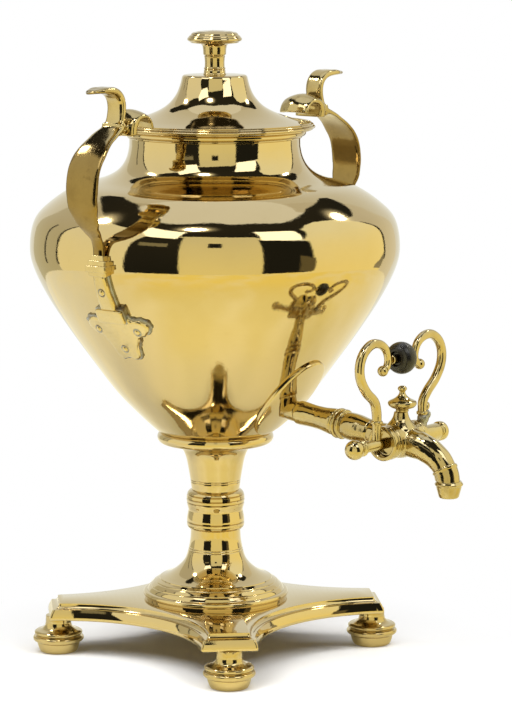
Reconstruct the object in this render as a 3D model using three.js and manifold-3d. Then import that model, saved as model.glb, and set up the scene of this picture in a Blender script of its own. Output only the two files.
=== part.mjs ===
// Brass tea urn on a square pedestal, with a lever tap and a hot-iron heater inside.
// Millimetres, +Z up. The feet stand on z = 0, the tap points to -Y, the handles lie along X.
// The origin is the middle of the footprint of the whole urn, so the urn's own axis stands back from it.
import * as THREE from "three";
import { mergeVertices } from "three/addons/utils/BufferGeometryUtils.js";
import Module from "manifold-3d";

const wasm = await Module();
wasm.setup();

// Driving dimensions of the whole urn
const AXIS_SETBACK = 41.3;
const SEAT_GAP = 0.3;
const LEFT_HANDLE_TURN = 4.5;

// Base: a square plate with hollowed sides and clipped corners, on four turned feet
const FOOT_HEIGHT = 25.3;
const FOOT_CIRCLE = 110;
const FOOT_NECK_RADIUS = 8.6;
const STUD_HOLE_FLOOR = 11;
const STUD_LENGTH = 19;
const STUD_MIDDLE = 21.5;
const PLATE_EDGE_HEIGHT = 7.6;
const PLATE_TOP = 36.8;
const PLATE_INSET = 7;
const PLATE_EDGE_DRAFT = 1;
const CORNER_DRAFT = 0.8;
const PLATE_WAIST = 68;
const CORNER_REACH = 116.5;
const CORNER_HALF_WIDTH = 19;
const PLATE_WALL = 3.4;
const POCKET_REACH = 98;
const STUD_RADIUS = 3;

// Pedestal: foot, knop, stem and collar threaded on one tie rod
const DISC_RADIUS = 50.5;
const KNOP_BOTTOM = 85.3;
const KNOP_TOP = 112.6;
const STEM_TOP = 146;
const COLLAR_RADIUS = 40.3;
const COLLAR_TOP = 154.3;
const COLLAR_FLOOR = 150.4;
const ROD_RADIUS = 3.8;
const ROD_HOLE_RADIUS = 4.3;
const NUT_RADIUS = 9;
const NUT_HEIGHT = 6;

// Body, neck and lid
const BODY_SIDES = 26;
const SEAM_POINT = 6;
const WALL = 1.8;
const BODY_FLOOR = COLLAR_FLOOR + SEAT_GAP + WALL;
const NECK_RADIUS = 58.4;
const NECK_TOP = 357;
const RIM_RADIUS = 62.4;
const RIM_TOP = 362.8;
const LID_RADIUS = 68.6;
const LID_SIDES = 22;
const LID_WALL = 1.6;
const LID_CROWN = 400;
const LID_SKIRT_RADIUS = 55.9;
const LID_SKIRT_BOTTOM = 350;
const FINIAL_TOP = 430;
const FINIAL_DISC_RADIUS = 18.8;
const FINIAL_TAIL_RADIUS = 2.5;
const FINIAL_NUT_HEIGHT = 4;

// Heater: a closed tube that stands in the water, its cover and the iron that is dropped in red hot
const TUBE_RADIUS = 26;
const TUBE_WALL = 1.6;
const TUBE_FLOOR = 166;
const TUBE_TOP = 318;
const IRON_RADIUS = 21;
const IRON_LENGTH = 112;

// Handles: a leaf-shaped strap, a rolled scroll, a thumbpiece and a riveted terminal plate
const STRAP_THICKNESS = 2.8;
const STRAP_HALF_WIDTH = 13;
const STRAP_REACH = 148;
const SCROLL_HALF_WIDTH = 12.6;
const SCROLL_CROWN = 2.6;
const THUMB_HALF_WIDTH = 6.9;
const TERMINAL_HALF_WIDTH = 25;
const TERMINAL_THICKNESS = 2.6;
const SHANK_THICKNESS = 4.2;
const RIVET_RADIUS = 2.2;
const RIVET_HEIGHT = 1.1;

// Tap: the axis falls six degrees from the body to the valve, the plug turns about an axis along X
const TAP_FALL = THREE.MathUtils.degToRad(6);
const VALVE_OUT = 160.5;
const VALVE_HEIGHT = 166;
const BARREL_RADIUS = 11.5;
const BARREL_NEAR = -21;
const BARREL_FAR = 18;
const BORE_RADIUS = 3.9;
const TAIL_RADIUS = 6.2;
const SHANK_END = 112;
const BOSS_TOP = 185;
const PLUG_RADIUS = 7.4;
const PLUG_NEAR = BARREL_NEAR + 6.2;
const SPINDLE_NEAR_RADIUS = 3.6;
const SPINDLE_FAR_RADIUS = 5.8;
const SPINDLE_NEAR_REACH = 40.6;
const SPINDLE_FAR_REACH = 39.4;
const BALL_RADIUS = 6.2;
const WASHER_TOP = 19.7;
const WASHER_RADIUS = 8.6;
const ROSETTE_HALF_WIDTH = 23;
const ROSETTE_HALF_LENGTH = 34.5;
const ROSETTE_DISTANCE = 99;
const ROSETTE_SLOPE = THREE.MathUtils.degToRad(38.7);
const ROSETTE_RISE = 10;
const ROSETTE_THICKNESS = 2;
const SPOUT_REACH = 39.5;
const SPOUT_BOTTOM = 143.4;
const NOZZLE_BOTTOM = 132;
const LEVER_RADIUS = 3.1;
const LEVER_NEAR_ROOT = 26.2;
const LEVER_FAR_ROOT = 23.6;
const LEVER_COLLAR_HEIGHT = 181;
const CURL_REACH = 20;
const CURL_HEIGHT = 214.2;
const GRIP_HEIGHT = 220.6;
const BEAD_RADIUS = 10.7;
const BEAD_HALF_LENGTH = 6.9;
const BEAD_DISH = 2;
const PIN_RADIUS = 2.4;
const PIN_HALF_LENGTH = 11;

const brass = new THREE.MeshStandardMaterial({ color: 0xd9b45f, roughness: 0.16, metalness: 1 });
const handleBrass = new THREE.MeshStandardMaterial({ color: 0xc39a4d, roughness: 0.34, metalness: 1 });
const hiddenBrass = new THREE.MeshStandardMaterial({ color: 0xa8854a, roughness: 0.5, metalness: 1 });
const castIron = new THREE.MeshStandardMaterial({ color: 0x3a3735, roughness: 0.75, metalness: 0.8 });
const ebonised = new THREE.MeshStandardMaterial({ color: 0x17130f, roughness: 0.35, metalness: 0 });

// Joins equal corners and drops the flat triangles that a lathe leaves on its axis
function weld(geometry) {
  geometry.deleteAttribute("normal");
  geometry.deleteAttribute("uv");
  const merged = mergeVertices(geometry, 1e-4);
  const index = merged.index.array;
  const kept = [];
  for (let i = 0; i < index.length; i += 3) {
    const [a, b, c] = [index[i], index[i + 1], index[i + 2]];
    if (a !== b && b !== c && c !== a) kept.push(a, b, c);
  }
  merged.setIndex(kept);
  return merged;
}

function signedVolume(geometry) {
  const position = geometry.attributes.position;
  const index = geometry.index.array;
  const corners = [new THREE.Vector3(), new THREE.Vector3(), new THREE.Vector3()];
  let volume = 0;
  for (let i = 0; i < index.length; i += 3) {
    corners.forEach((corner, k) => corner.fromBufferAttribute(position, index[i + k]));
    volume += corners[0].dot(corners[1].cross(corners[2])) / 6;
  }
  return volume;
}

// A closed mesh with its faces turned outward
function closed(geometry) {
  const welded = weld(geometry);
  if (signedVolume(welded) < 0) welded.index.array.reverse();
  return welded;
}

function toSolid(geometry) {
  const mesh = closed(geometry);
  const vertProperties = new Float32Array(mesh.attributes.position.array);
  const triVerts = new Uint32Array(mesh.index.array);
  return new wasm.Manifold(new wasm.Mesh({ numProp: 3, vertProperties, triVerts }));
}

function toGeometry(solid) {
  const mesh = solid.getMesh();
  const geometry = new THREE.BufferGeometry();
  geometry.setAttribute("position", new THREE.BufferAttribute(new Float32Array(mesh.vertProperties), 3));
  geometry.setIndex(Array.from(mesh.triVerts));
  return geometry;
}

function part(name, shape, material) {
  const geometry = shape.isBufferGeometry ? closed(shape) : toGeometry(shape);
  geometry.computeVertexNormals();
  const mesh = new THREE.Mesh(geometry, material);
  mesh.name = name;
  return mesh;
}

// A turned shape about Z from an outline of [radius, height] points; a ring closes on itself
function turned(outline, sides) {
  const points = outline.map(([r, z]) => new THREE.Vector2(r, z));
  const last = points[points.length - 1];
  const isRing = points[0].x > 0 || last.x > 0;
  if (isRing && !last.equals(points[0])) points.push(points[0].clone());
  return new THREE.LatheGeometry(points, sides).rotateX(Math.PI / 2);
}

// Points of a quarter or half round on an outline, angles in degrees from +radius
function roundOf(r, z, size, from, to, steps) {
  const points = [];
  for (let i = 0; i <= steps; i++) {
    const angle = THREE.MathUtils.degToRad(from + ((to - from) * i) / steps);
    points.push([r + size * Math.cos(angle), z + size * Math.sin(angle)]);
  }
  return points;
}

// A smooth run through a few outline points
function smooth(points, steps) {
  const curve = new THREE.SplineCurve(points.map(([r, z]) => new THREE.Vector2(r, z)));
  return curve.getPoints(steps).map((p) => [p.x, p.y]);
}

// The same run moved to the left of its direction, by one distance or by a list with one for each point
function offset(points, distances) {
  return points.map(([r, z], i) => {
    const distance = distances[i] ?? distances;
    const [r0, z0] = points[Math.max(i - 1, 0)];
    const [r1, z1] = points[Math.min(i + 1, points.length - 1)];
    const length = Math.hypot(r1 - r0, z1 - z0);
    return [r - (distance * (z1 - z0)) / length, z + (distance * (r1 - r0)) / length];
  });
}

// A skin over a row of sections with equally many corners, closed by a cap at each end
function loft(sections) {
  const count = sections[0].length;
  const position = sections.flat().flatMap((p) => [p.x, p.y, p.z]);
  const index = [];
  for (let s = 0; s < sections.length - 1; s++) {
    for (let k = 0; k < count; k++) {
      const a = s * count + k;
      const b = s * count + ((k + 1) % count);
      index.push(a, b, a + count, b, b + count, a + count);
    }
  }
  const end = (sections.length - 1) * count;
  for (let k = 1; k < count - 1; k++) {
    index.push(0, k + 1, k);
    index.push(end, end + k, end + k + 1);
  }
  const geometry = new THREE.BufferGeometry();
  geometry.setAttribute("position", new THREE.Float32BufferAttribute(position, 3));
  geometry.setIndex(index);
  return geometry;
}

// A rod of changing radius along a path that lies in one plane
function taperedRod(path, radii, across, sides) {
  const sections = path.map((point, i) => {
    const before = path[Math.max(i - 1, 0)];
    const after = path[Math.min(i + 1, path.length - 1)];
    const along = after.clone().sub(before).normalize();
    const up = along.clone().cross(across);
    return Array.from({ length: sides }, (_, k) => {
      const angle = (2 * Math.PI * k) / sides;
      return point
        .clone()
        .addScaledVector(across, radii[i] * Math.cos(angle))
        .addScaledVector(up, radii[i] * Math.sin(angle));
    });
  });
  return loft(sections);
}

// A bent strap in the XZ plane, from the line of its outer face as [x, z] points.
// Its half widths along Y, its thicknesses and the crowns of its outer face are stations for sizesAlong.
function bentStrap(outer, widthStations, thicknessStations, crownStations) {
  const widths = sizesAlong(widthStations, outer.length);
  const crowns = sizesAlong(crownStations, outer.length);
  const inner = offset(outer, sizesAlong(thicknessStations, outer.length));
  const shares = [-1, -0.6, 0, 0.6, 1];
  const across = shares.map((share) => offset(outer, crowns.map((crown) => crown * (share * share - 1))));
  const sections = outer.map((_, i) => [
    ...shares.map((share, k) => new THREE.Vector3(across[k][i][0], share * widths[i], across[k][i][1])),
    new THREE.Vector3(inner[i][0], widths[i], inner[i][1]),
    new THREE.Vector3(inner[i][0], -widths[i], inner[i][1]),
  ]);
  return loft(sections);
}

// Stations of a size that stays the same
function even(size) {
  return [[0, size], [1, size]];
}

// Sizes read off a few [share of length, size] stations
function sizesAlong(stations, count) {
  return Array.from({ length: count }, (_, i) => {
    const t = i / (count - 1);
    const next = stations.findIndex(([share]) => share >= t);
    if (next <= 0) return stations[0][1];
    const [t0, w0] = stations[next - 1];
    const [t1, w1] = stations[next];
    return THREE.MathUtils.lerp(w0, w1, (t - t0) / (t1 - t0));
  });
}

function cylinder(radius, length, sides) {
  return new THREE.CylinderGeometry(radius, radius, length, sides);
}

// Outline of the body from the bottom edge to the neck
const bodyOutline = smooth(
  [
    [39.9, 154.8], [50.6, 164.7], [67.6, 182.4], [84.3, 204.6], [100.3, 227],
    [114.3, 248.8], [124.2, 269], [126.9, 284], [123.6, 301.5], [113.6, 312.7],
    [97, 323.4], [77, 329.3], [66, 335.4], [60.4, 343.6], [58.5, 352],
  ],
  12,
);

// The body as a full solid, grown outward by a distance, to bend plates onto it
function bodyGrownBy(distance) {
  const grown = offset(bodyOutline, -distance);
  const [bottomRadius, bottomHeight] = grown[0];
  const [topRadius, topHeight] = grown[grown.length - 1];
  const outline = [
    [0, bottomHeight - 1], [bottomRadius, bottomHeight - 1], ...grown,
    [topRadius, topHeight + 1], [0, topHeight + 1],
  ];
  return toSolid(turned(outline, BODY_SIDES));
}

// A sheet between two distances from the body's surface, as seen by a group turned about Z
function sheetOnBody(from, to, turn = 0) {
  return bodyGrownBy(to).subtract(bodyGrownBy(from)).rotate([0, 0, -turn]);
}

// One quarter of the plate's edge: a clipped corner and half of each hollow side, then its three turns
function plateOutline(inset) {
  const reach = CORNER_REACH - inset;
  const half = CORNER_HALF_WIDTH - inset * CORNER_DRAFT;
  const waist = PLATE_WAIST - inset;
  const corner = new THREE.Vector2(reach + half, reach - half).multiplyScalar(Math.SQRT1_2);
  const rise = corner.x - waist;
  const hollowRadius = (rise * rise + corner.y * corner.y) / (2 * rise);
  const spread = Math.asin(corner.y / hollowRadius);
  const side = [];
  const steps = 6;
  for (let i = 0; i <= steps; i++) {
    const angle = Math.PI + spread - (2 * spread * i) / steps;
    const along = waist + hollowRadius * (1 + Math.cos(angle));
    side.push(new THREE.Vector2(along, hollowRadius * Math.sin(angle)));
  }
  const outline = [];
  for (let quarter = 0; quarter < 4; quarter++) {
    const turn = (quarter * Math.PI) / 2;
    side.forEach((p) => outline.push(p.clone().rotateAround(new THREE.Vector2(), turn)));
  }
  return outline;
}

function basePlate() {
  const coveSteps = 3;
  const coveBottom = FOOT_HEIGHT + PLATE_EDGE_HEIGHT;
  const levels = [[FOOT_HEIGHT + SEAT_GAP, 0], [coveBottom, PLATE_EDGE_DRAFT]];
  const coveHeight = PLATE_TOP - coveBottom;
  for (let i = 1; i <= coveSteps; i++) {
    const angle = (i / coveSteps) * (Math.PI / 2);
    const inset = PLATE_EDGE_DRAFT + (PLATE_INSET - PLATE_EDGE_DRAFT) * Math.sin(angle);
    levels.push([coveBottom + coveHeight * (1 - Math.cos(angle)), inset]);
  }
  const pocketLevels = [[FOOT_HEIGHT - 1, PLATE_WALL], [PLATE_TOP - PLATE_WALL, PLATE_WALL]];
  const pocketReach = cylinder(POCKET_REACH, 100, 28).rotateX(Math.PI / 2);
  const pocket = toSolid(stackedPlate(pocketLevels)).intersect(toSolid(pocketReach));
  const rodHole = cylinder(ROD_HOLE_RADIUS, 40, 12).rotateX(Math.PI / 2).translate(0, 0, PLATE_TOP);
  let plate = toSolid(stackedPlate(levels)).subtract(pocket).subtract(toSolid(rodHole));
  for (const [x, y] of footCentres()) {
    const hole = cylinder(STUD_RADIUS + SEAT_GAP, 16, 12).rotateX(Math.PI / 2).translate(x, y, FOOT_HEIGHT);
    plate = plate.subtract(toSolid(hole));
  }
  return plate;
}

// The plate's outline at rising heights [z, inset], with flat caps cut to its hollowed sides
function stackedPlate(levels) {
  const outlines = levels.map(([, inset]) => plateOutline(inset));
  const sections = outlines.map((outline, i) => outline.map((p) => new THREE.Vector3(p.x, p.y, levels[i][0])));
  const count = outlines[0].length;
  const end = (outlines.length - 1) * count;
  const geometry = loft(sections);
  const index = Array.from(geometry.index.array).slice(0, end * 6);
  const bottom = THREE.ShapeUtils.triangulateShape(outlines[0], []);
  const top = THREE.ShapeUtils.triangulateShape(outlines[outlines.length - 1], []);
  bottom.forEach(([a, b, c]) => index.push(a, c, b));
  top.forEach(([a, b, c]) => index.push(end + a, end + b, end + c));
  geometry.setIndex(index);
  return geometry;
}

function footCentres() {
  const side = FOOT_CIRCLE * Math.SQRT1_2;
  return [[-side, -side], [side, -side], [-side, side], [side, side]];
}

// A turned foot: three stepped rings under a narrow neck
function foot() {
  const outline = [
    [0, 0], [13.8, 0], [14, 2.8], [15, 3.6], [15, 6.4], [17.8, 9.2],
    [17.2, 11.6], [13.2, 13.8], [9.8, 16.4], [FOOT_NECK_RADIUS, FOOT_HEIGHT],
    [STUD_RADIUS + SEAT_GAP, FOOT_HEIGHT], [STUD_RADIUS + SEAT_GAP, STUD_HOLE_FLOOR], [0, STUD_HOLE_FLOOR],
  ];
  return turned(outline, 12);
}

function addBase(urn) {
  urn.add(part("base_plate", basePlate(), brass));
  const corners = ["front_left", "front_right", "back_left", "back_right"];
  footCentres().forEach(([x, y], i) => {
    const stud = cylinder(STUD_RADIUS, STUD_LENGTH, 10).rotateX(Math.PI / 2).translate(0, 0, STUD_MIDDLE);
    const leg = new THREE.Group();
    leg.position.set(x, y, 0);
    leg.add(part(`foot_${corners[i]}`, foot(), brass));
    leg.add(part(`foot_stud_${corners[i]}`, stud, hiddenBrass));
    urn.add(leg);
  });
}

// The domed foot disc that sweeps up into the lower trumpet, hollow below
function pedestalFoot() {
  const bottom = PLATE_TOP + SEAT_GAP;
  const trumpet = smooth(
    [[36.5, 51.6], [30.8, 54.4], [25, 59], [21, 64.2], [18.9, 71], [17.6, 78], [17.2, KNOP_BOTTOM - SEAT_GAP]],
    5,
  );
  const outline = [
    [DISC_RADIUS - 0.6, bottom],
    ...roundOf(DISC_RADIUS - 2.2, bottom + 3.2, 2.2, -50, 70, 3),
    [46.8, 46], [43, 48.8], [39.8, 50.4],
    ...trumpet,
    [ROD_HOLE_RADIUS, KNOP_BOTTOM - SEAT_GAP],
    [ROD_HOLE_RADIUS, KNOP_BOTTOM - 8],
    [12, KNOP_BOTTOM - 14],
    [14.4, 68], [22, 52], [DISC_RADIUS - 8, bottom + 5], [DISC_RADIUS - 8, bottom],
  ];
  return turned(outline, 22);
}

// The knop: two rolls with cut grooves and a hollow between them
function pedestalKnop() {
  const mid = (KNOP_BOTTOM + KNOP_TOP) / 2;
  const outline = [
    [ROD_HOLE_RADIUS, KNOP_BOTTOM], [17, KNOP_BOTTOM], [18.4, KNOP_BOTTOM + 1.4], [19.4, KNOP_BOTTOM + 3.4],
    [19.9, KNOP_BOTTOM + 5.4], [19.9, KNOP_BOTTOM + 10.6], [19, mid + 0.6], [20.1, mid + 4],
    [20.1, KNOP_TOP - 5], [19.2, KNOP_TOP - 1.6], [17.2, KNOP_TOP], [ROD_HOLE_RADIUS, KNOP_TOP],
  ];
  return turned(outline, 20);
}

// The upper stem widens in a hollow curve up to the collar
function pedestalStem() {
  const bottom = KNOP_TOP + SEAT_GAP;
  const flare = smooth(
    [[16.7, bottom], [17.5, 119.6], [18.7, 127], [20.6, 136], [24, 142.6], [31, STEM_TOP]],
    7,
  );
  const outline = [
    [ROD_HOLE_RADIUS, bottom], ...flare, [26, STEM_TOP], [18, 139], [14.6, 128],
    [13.4, 118], [ROD_HOLE_RADIUS, 117.6],
  ];
  return turned(outline, 20);
}

// The dished collar that the body's bottom edge stands in
function pedestalCollar() {
  const bottom = STEM_TOP + SEAT_GAP;
  const outline = [
    [ROD_HOLE_RADIUS, bottom], [37.2, bottom],
    ...roundOf(36.1, bottom + 4, COLLAR_RADIUS - 36.1, -60, 62, 3),
    [38.2, COLLAR_TOP], [36.6, COLLAR_TOP], [36.6, COLLAR_FLOOR], [ROD_HOLE_RADIUS, COLLAR_FLOOR],
  ];
  return turned(outline, BODY_SIDES);
}

function nut(z) {
  const ring = toSolid(cylinder(NUT_RADIUS, NUT_HEIGHT, 6).rotateX(Math.PI / 2));
  const bore = toSolid(cylinder(ROD_RADIUS + SEAT_GAP, NUT_HEIGHT * 2, 12).rotateX(Math.PI / 2));
  return ring.subtract(bore).translate(0, 0, z);
}

function addPedestal(urn) {
  urn.add(part("pedestal_foot", pedestalFoot(), brass));
  urn.add(part("pedestal_knop", pedestalKnop(), brass));
  urn.add(part("pedestal_stem", pedestalStem(), brass));
  urn.add(part("pedestal_collar", pedestalCollar(), brass));
  const lowerNut = PLATE_TOP - PLATE_WALL - SEAT_GAP - NUT_HEIGHT / 2;
  const upperNut = BODY_FLOOR + SEAT_GAP + NUT_HEIGHT / 2;
  const rodBottom = lowerNut - NUT_HEIGHT / 2 - 0.5;
  const rodTop = upperNut + NUT_HEIGHT / 2 + 1;
  const rod = cylinder(ROD_RADIUS, rodTop - rodBottom, 12).rotateX(Math.PI / 2);
  urn.add(part("tie_rod", rod.translate(0, 0, (rodTop + rodBottom) / 2), hiddenBrass));
  urn.add(part("tie_rod_lower_nut", nut(lowerNut), hiddenBrass));
  urn.add(part("tie_rod_upper_nut", nut(upperNut), hiddenBrass));
}

// A point of the tap's axis, at a distance from the valve back toward the body
function onTapAxis(distance) {
  const back = new THREE.Vector3(0, Math.cos(TAP_FALL), Math.sin(TAP_FALL));
  return back.multiplyScalar(distance).add(new THREE.Vector3(0, -VALVE_OUT, VALVE_HEIGHT));
}

// Lays a shape turned about Z along the tap's axis, with its z measured from the valve toward the body
function alongTap(geometry) {
  return geometry.rotateX(-(Math.PI / 2 - TAP_FALL)).translate(0, -VALVE_OUT, VALVE_HEIGHT);
}

// Inner line of the body's wall, and the widest point where its two halves are brazed together
const bodyInside = offset(bodyOutline, WALL);
const [seamRadius, seamHeight] = bodyOutline[SEAM_POINT];

// The lower half of the body: from the flat bottom in the collar up to the seam
function bodyBowl() {
  const lip = COLLAR_TOP + SEAT_GAP;
  const edge = seamHeight - SEAT_GAP / 2;
  const outline = [
    [ROD_HOLE_RADIUS, COLLAR_FLOOR + SEAT_GAP], [36, COLLAR_FLOOR + SEAT_GAP], [36, lip], [39.5, lip],
    ...bodyOutline.slice(0, SEAM_POINT), [seamRadius, edge], [seamRadius - WALL, edge],
    ...bodyInside.slice(1, SEAM_POINT).reverse(),
    [34.2, lip], [34.2, BODY_FLOOR], [ROD_HOLE_RADIUS, BODY_FLOOR],
  ];
  const tailHole = cylinder(TAIL_RADIUS + SEAT_GAP, 60, 16).rotateX(Math.PI / 2).translate(0, 0, 105);
  return toSolid(turned(outline, BODY_SIDES)).subtract(toSolid(alongTap(tailHole)));
}

// The upper half of the body: from the seam over the shoulder to the neck
function bodyShoulder() {
  const edge = seamHeight + SEAT_GAP / 2;
  const outline = [
    [seamRadius, edge], ...bodyOutline.slice(SEAM_POINT + 1), [NECK_RADIUS, NECK_TOP],
    [NECK_RADIUS - WALL, NECK_TOP], ...bodyInside.slice(SEAM_POINT + 1).reverse(), [seamRadius - WALL, edge],
  ];
  return turned(outline, BODY_SIDES);
}

// The rolled rim with a small step under it
function neckRim() {
  const bottom = NECK_TOP + SEAT_GAP;
  const middle = (bottom + 1.2 + RIM_TOP) / 2;
  const size = (RIM_TOP - bottom - 1.2) / 2;
  const outline = [
    [NECK_RADIUS - WALL, bottom], [59.4, bottom], [59.6, bottom + 1.1],
    ...roundOf(RIM_RADIUS - size, middle, size, -80, 90, 5),
    [NECK_RADIUS - WALL, RIM_TOP],
  ];
  return turned(outline, LID_SIDES);
}

// The lid: a flat-topped bell that sweeps out almost level to its edge
function lidShell() {
  const bell = smooth(
    [[22.3, 398.4], [24, 392], [27, 385.6], [33, 379], [42, 374], [54, 370], [64.5, 367.6]],
    8,
  );
  const inside = offset(bell, -LID_WALL);
  const outline = [
    [2.9, LID_CROWN], [20.6, LID_CROWN], ...bell, ...inside.filter((_, i) => i % 2 === 0).reverse(),
    [19.6, LID_CROWN - LID_WALL], [2.9, LID_CROWN - LID_WALL],
  ];
  return turned(outline, LID_SIDES);
}

// The lid's moulded edge, with the skirt that drops into the neck
function lidRim() {
  const bottom = RIM_TOP + SEAT_GAP;
  const outline = [
    [LID_SKIRT_RADIUS - 1.4, LID_SKIRT_BOTTOM], [LID_SKIRT_RADIUS, LID_SKIRT_BOTTOM],
    [LID_SKIRT_RADIUS, bottom], [67.4, bottom], [LID_RADIUS, bottom + 1], [LID_RADIUS - 0.2, bottom + 2.2],
    [67.2, bottom + 3.2], [66.2, bottom + 4.5], [64.9, bottom + 4.3], [64.9, bottom + 2.6],
    [LID_SKIRT_RADIUS - 1.4, bottom + 2.6],
  ];
  return turned(outline, LID_SIDES);
}

// The turned finial: a ringed stem under a stepped disc, with a screw tail through the lid
function lidFinial() {
  const seat = LID_CROWN + SEAT_GAP;
  const disc = FINIAL_TOP - 9;
  const outline = [
    [0, LID_CROWN - 9], [FINIAL_TAIL_RADIUS, LID_CROWN - 9], [FINIAL_TAIL_RADIUS, seat],
    [7.4, seat], [7.4, seat + 3.2], [6.8, seat + 3.8],
    [6.8, seat + 9], [7.1, seat + 12.4], [7.8, seat + 13.6], [7.9, seat + 17.2],
    [9, disc], [15.8, disc + 0.6], [FINIAL_DISC_RADIUS, disc + 3.2], [17.6, disc + 5.2],
    [15.6, disc + 7.6], [11.4, disc + 8.6], [0, FINIAL_TOP],
  ];
  return turned(outline, 16);
}

function addBodyAndLid(urn) {
  urn.add(part("body_bowl", bodyBowl(), brass));
  urn.add(part("body_shoulder", bodyShoulder(), brass));
  urn.add(part("neck_rim", neckRim(), brass));
  urn.add(part("lid_shell", lidShell(), brass));
  urn.add(part("lid_rim", lidRim(), brass));
  urn.add(part("lid_finial", lidFinial(), brass));
  const lidNut = toSolid(cylinder(6, FINIAL_NUT_HEIGHT, 6).rotateX(Math.PI / 2));
  const bore = toSolid(cylinder(FINIAL_TAIL_RADIUS + SEAT_GAP, 8, 12).rotateX(Math.PI / 2));
  const nutHeight = LID_CROWN - LID_WALL - SEAT_GAP - FINIAL_NUT_HEIGHT / 2;
  urn.add(part("finial_nut", lidNut.subtract(bore).translate(0, 0, nutHeight), hiddenBrass));
}

// The heater tube stands on an open skirt over the tie rod's nut
function heaterTube() {
  const foot = BODY_FLOOR + SEAT_GAP;
  const outline = [
    [0, TUBE_FLOOR - TUBE_WALL], [TUBE_RADIUS - TUBE_WALL, TUBE_FLOOR - TUBE_WALL],
    [TUBE_RADIUS - TUBE_WALL, foot], [TUBE_RADIUS + 3, foot], [TUBE_RADIUS + 3, foot + 1.6],
    [TUBE_RADIUS, foot + 2.4], [TUBE_RADIUS, TUBE_TOP], [TUBE_RADIUS - TUBE_WALL, TUBE_TOP],
    [TUBE_RADIUS - TUBE_WALL, TUBE_FLOOR], [0, TUBE_FLOOR],
  ];
  return turned(outline, 16);
}

// The loose cover of the heater tube with its turned knob
function heaterCover() {
  const seat = TUBE_TOP + SEAT_GAP;
  const outline = [
    [0, seat - 0.2], [TUBE_RADIUS + 0.5, seat], [TUBE_RADIUS + 0.5, seat - 6], [TUBE_RADIUS + 1.9, seat - 6],
    [TUBE_RADIUS + 1.9, seat + 0.8], [TUBE_RADIUS - 2, seat + 1.8], [5, seat + 2.4], [3.4, seat + 4],
    [3.4, seat + 7], [6.6, seat + 9.5], [6.6, seat + 12], [0, seat + 13.8],
  ];
  return turned(outline, 16);
}

// The iron: a plain cylinder with an eye in its top for a lifting hook
function heaterIron() {
  const bottom = TUBE_FLOOR + SEAT_GAP;
  const top = bottom + IRON_LENGTH;
  const outline = [
    [0, bottom], [IRON_RADIUS - 2, bottom], [IRON_RADIUS, bottom + 2], [IRON_RADIUS, top - 2],
    [IRON_RADIUS - 2, top], [0, top],
  ];
  const eye = new THREE.TorusGeometry(5, 1.8, 6, 12).rotateX(Math.PI / 2).translate(0, 0, top + 4.4);
  return toSolid(turned(outline, 16)).add(toSolid(eye));
}

function addHeater(urn) {
  urn.add(part("heater_tube", heaterTube(), hiddenBrass));
  urn.add(part("heater_cover", heaterCover(), hiddenBrass));
  urn.add(part("heater_iron", heaterIron(), castIron));
}

// Outer line of the strap from the terminal, out and up to the scroll
const strapLine = smooth(
  [
    [130.6, 287.6], [131, 293.5], [133.6, 299.8], [140.6, 307.4], [146.2, 318], [STRAP_REACH, 331.5],
    [145, 347], [135.6, 358.8], [124.4, 366.6], [110, 374.3],
  ],
  16,
);
const strapWidths = [
  [0, 4.4], [0.1, 4.4], [0.17, 6.4], [0.25, 9.6], [0.36, 12.2], [0.48, STRAP_HALF_WIDTH],
  [0.66, STRAP_HALF_WIDTH], [0.84, 10.6], [1, 8.2],
];

function handleStrap() {
  return bentStrap(strapLine, strapWidths, even(STRAP_THICKNESS), even(0.6));
}

// The scroll: a thick leg that thins as it curls over and down toward the lid, domed across
function handleScroll() {
  const line = smooth(
    [
      [108.2, 366.4], [108.3, 371], [107.2, 374.4], [104.4, 377.4], [100.2, 379.4],
      [95, 379.8], [90, 378.2], [86.1, 374.6], [84.1, 369.4],
    ],
    14,
  );
  const widths = [[0, 11.8], [0.35, SCROLL_HALF_WIDTH], [1, SCROLL_HALF_WIDTH]];
  const thicknesses = [[0, 8], [0.25, 7], [0.5, 4.4], [0.75, 3], [1, 2.6]];
  return bentStrap(line, widths, thicknesses, [[0, 0], [0.28, 0.2], [0.5, SCROLL_CROWN], [1, SCROLL_CROWN]]);
}

// The thumbpiece: a stem that leans in, then turns out into a pointed leaf, with a bead at its root
function handleThumbpiece() {
  const line = smooth(
    [
      [117.2, 368.8], [114.7, 372.4], [112.4, 377], [111.2, 382], [111.4, 386.4],
      [113.2, 390], [116.8, 392.4], [122, 393.6], [130.2, 394.4], [141, 394.6],
    ],
    18,
  );
  const widths = [[0, 7.4], [0.3, THUMB_HALF_WIDTH], [0.66, THUMB_HALF_WIDTH], [0.84, 5.6], [1, 0.9]];
  const thicknesses = [[0, 3.6], [0.2, 4.2], [0.4, 5.2], [0.6, 5.4], [0.75, 4.2], [0.9, 2.8], [1, 0.8]];
  const blade = toSolid(bentStrap(line, widths, thicknesses, even(0.3)));
  const bead = toSolid(cylinder(1.5, 15, 10).translate(114.6, 0, 373.4));
  const strapRoom = offset(strapLine, -SEAT_GAP * 1.4);
  const room = bentStrap(strapRoom, even(STRAP_HALF_WIDTH + 1), even(9), even(0.6));
  return blade.add(bead).subtract(toSolid(room));
}

// The terminal's outline as [across, height]: two ears above, notches, and a rounded tail
const terminalHalf = [
  [0, 247.6], [11, 247.6], [13.4, 245.6], [20.4, 246], [TERMINAL_HALF_WIDTH, 243], [24.4, 239.4], [20.6, 235.4],
  [14.6, 233.4], [13.4, 230.6], [10.6, 226.4], [9.2, 219.6], [5.6, 217], [0, 219],
];

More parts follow.
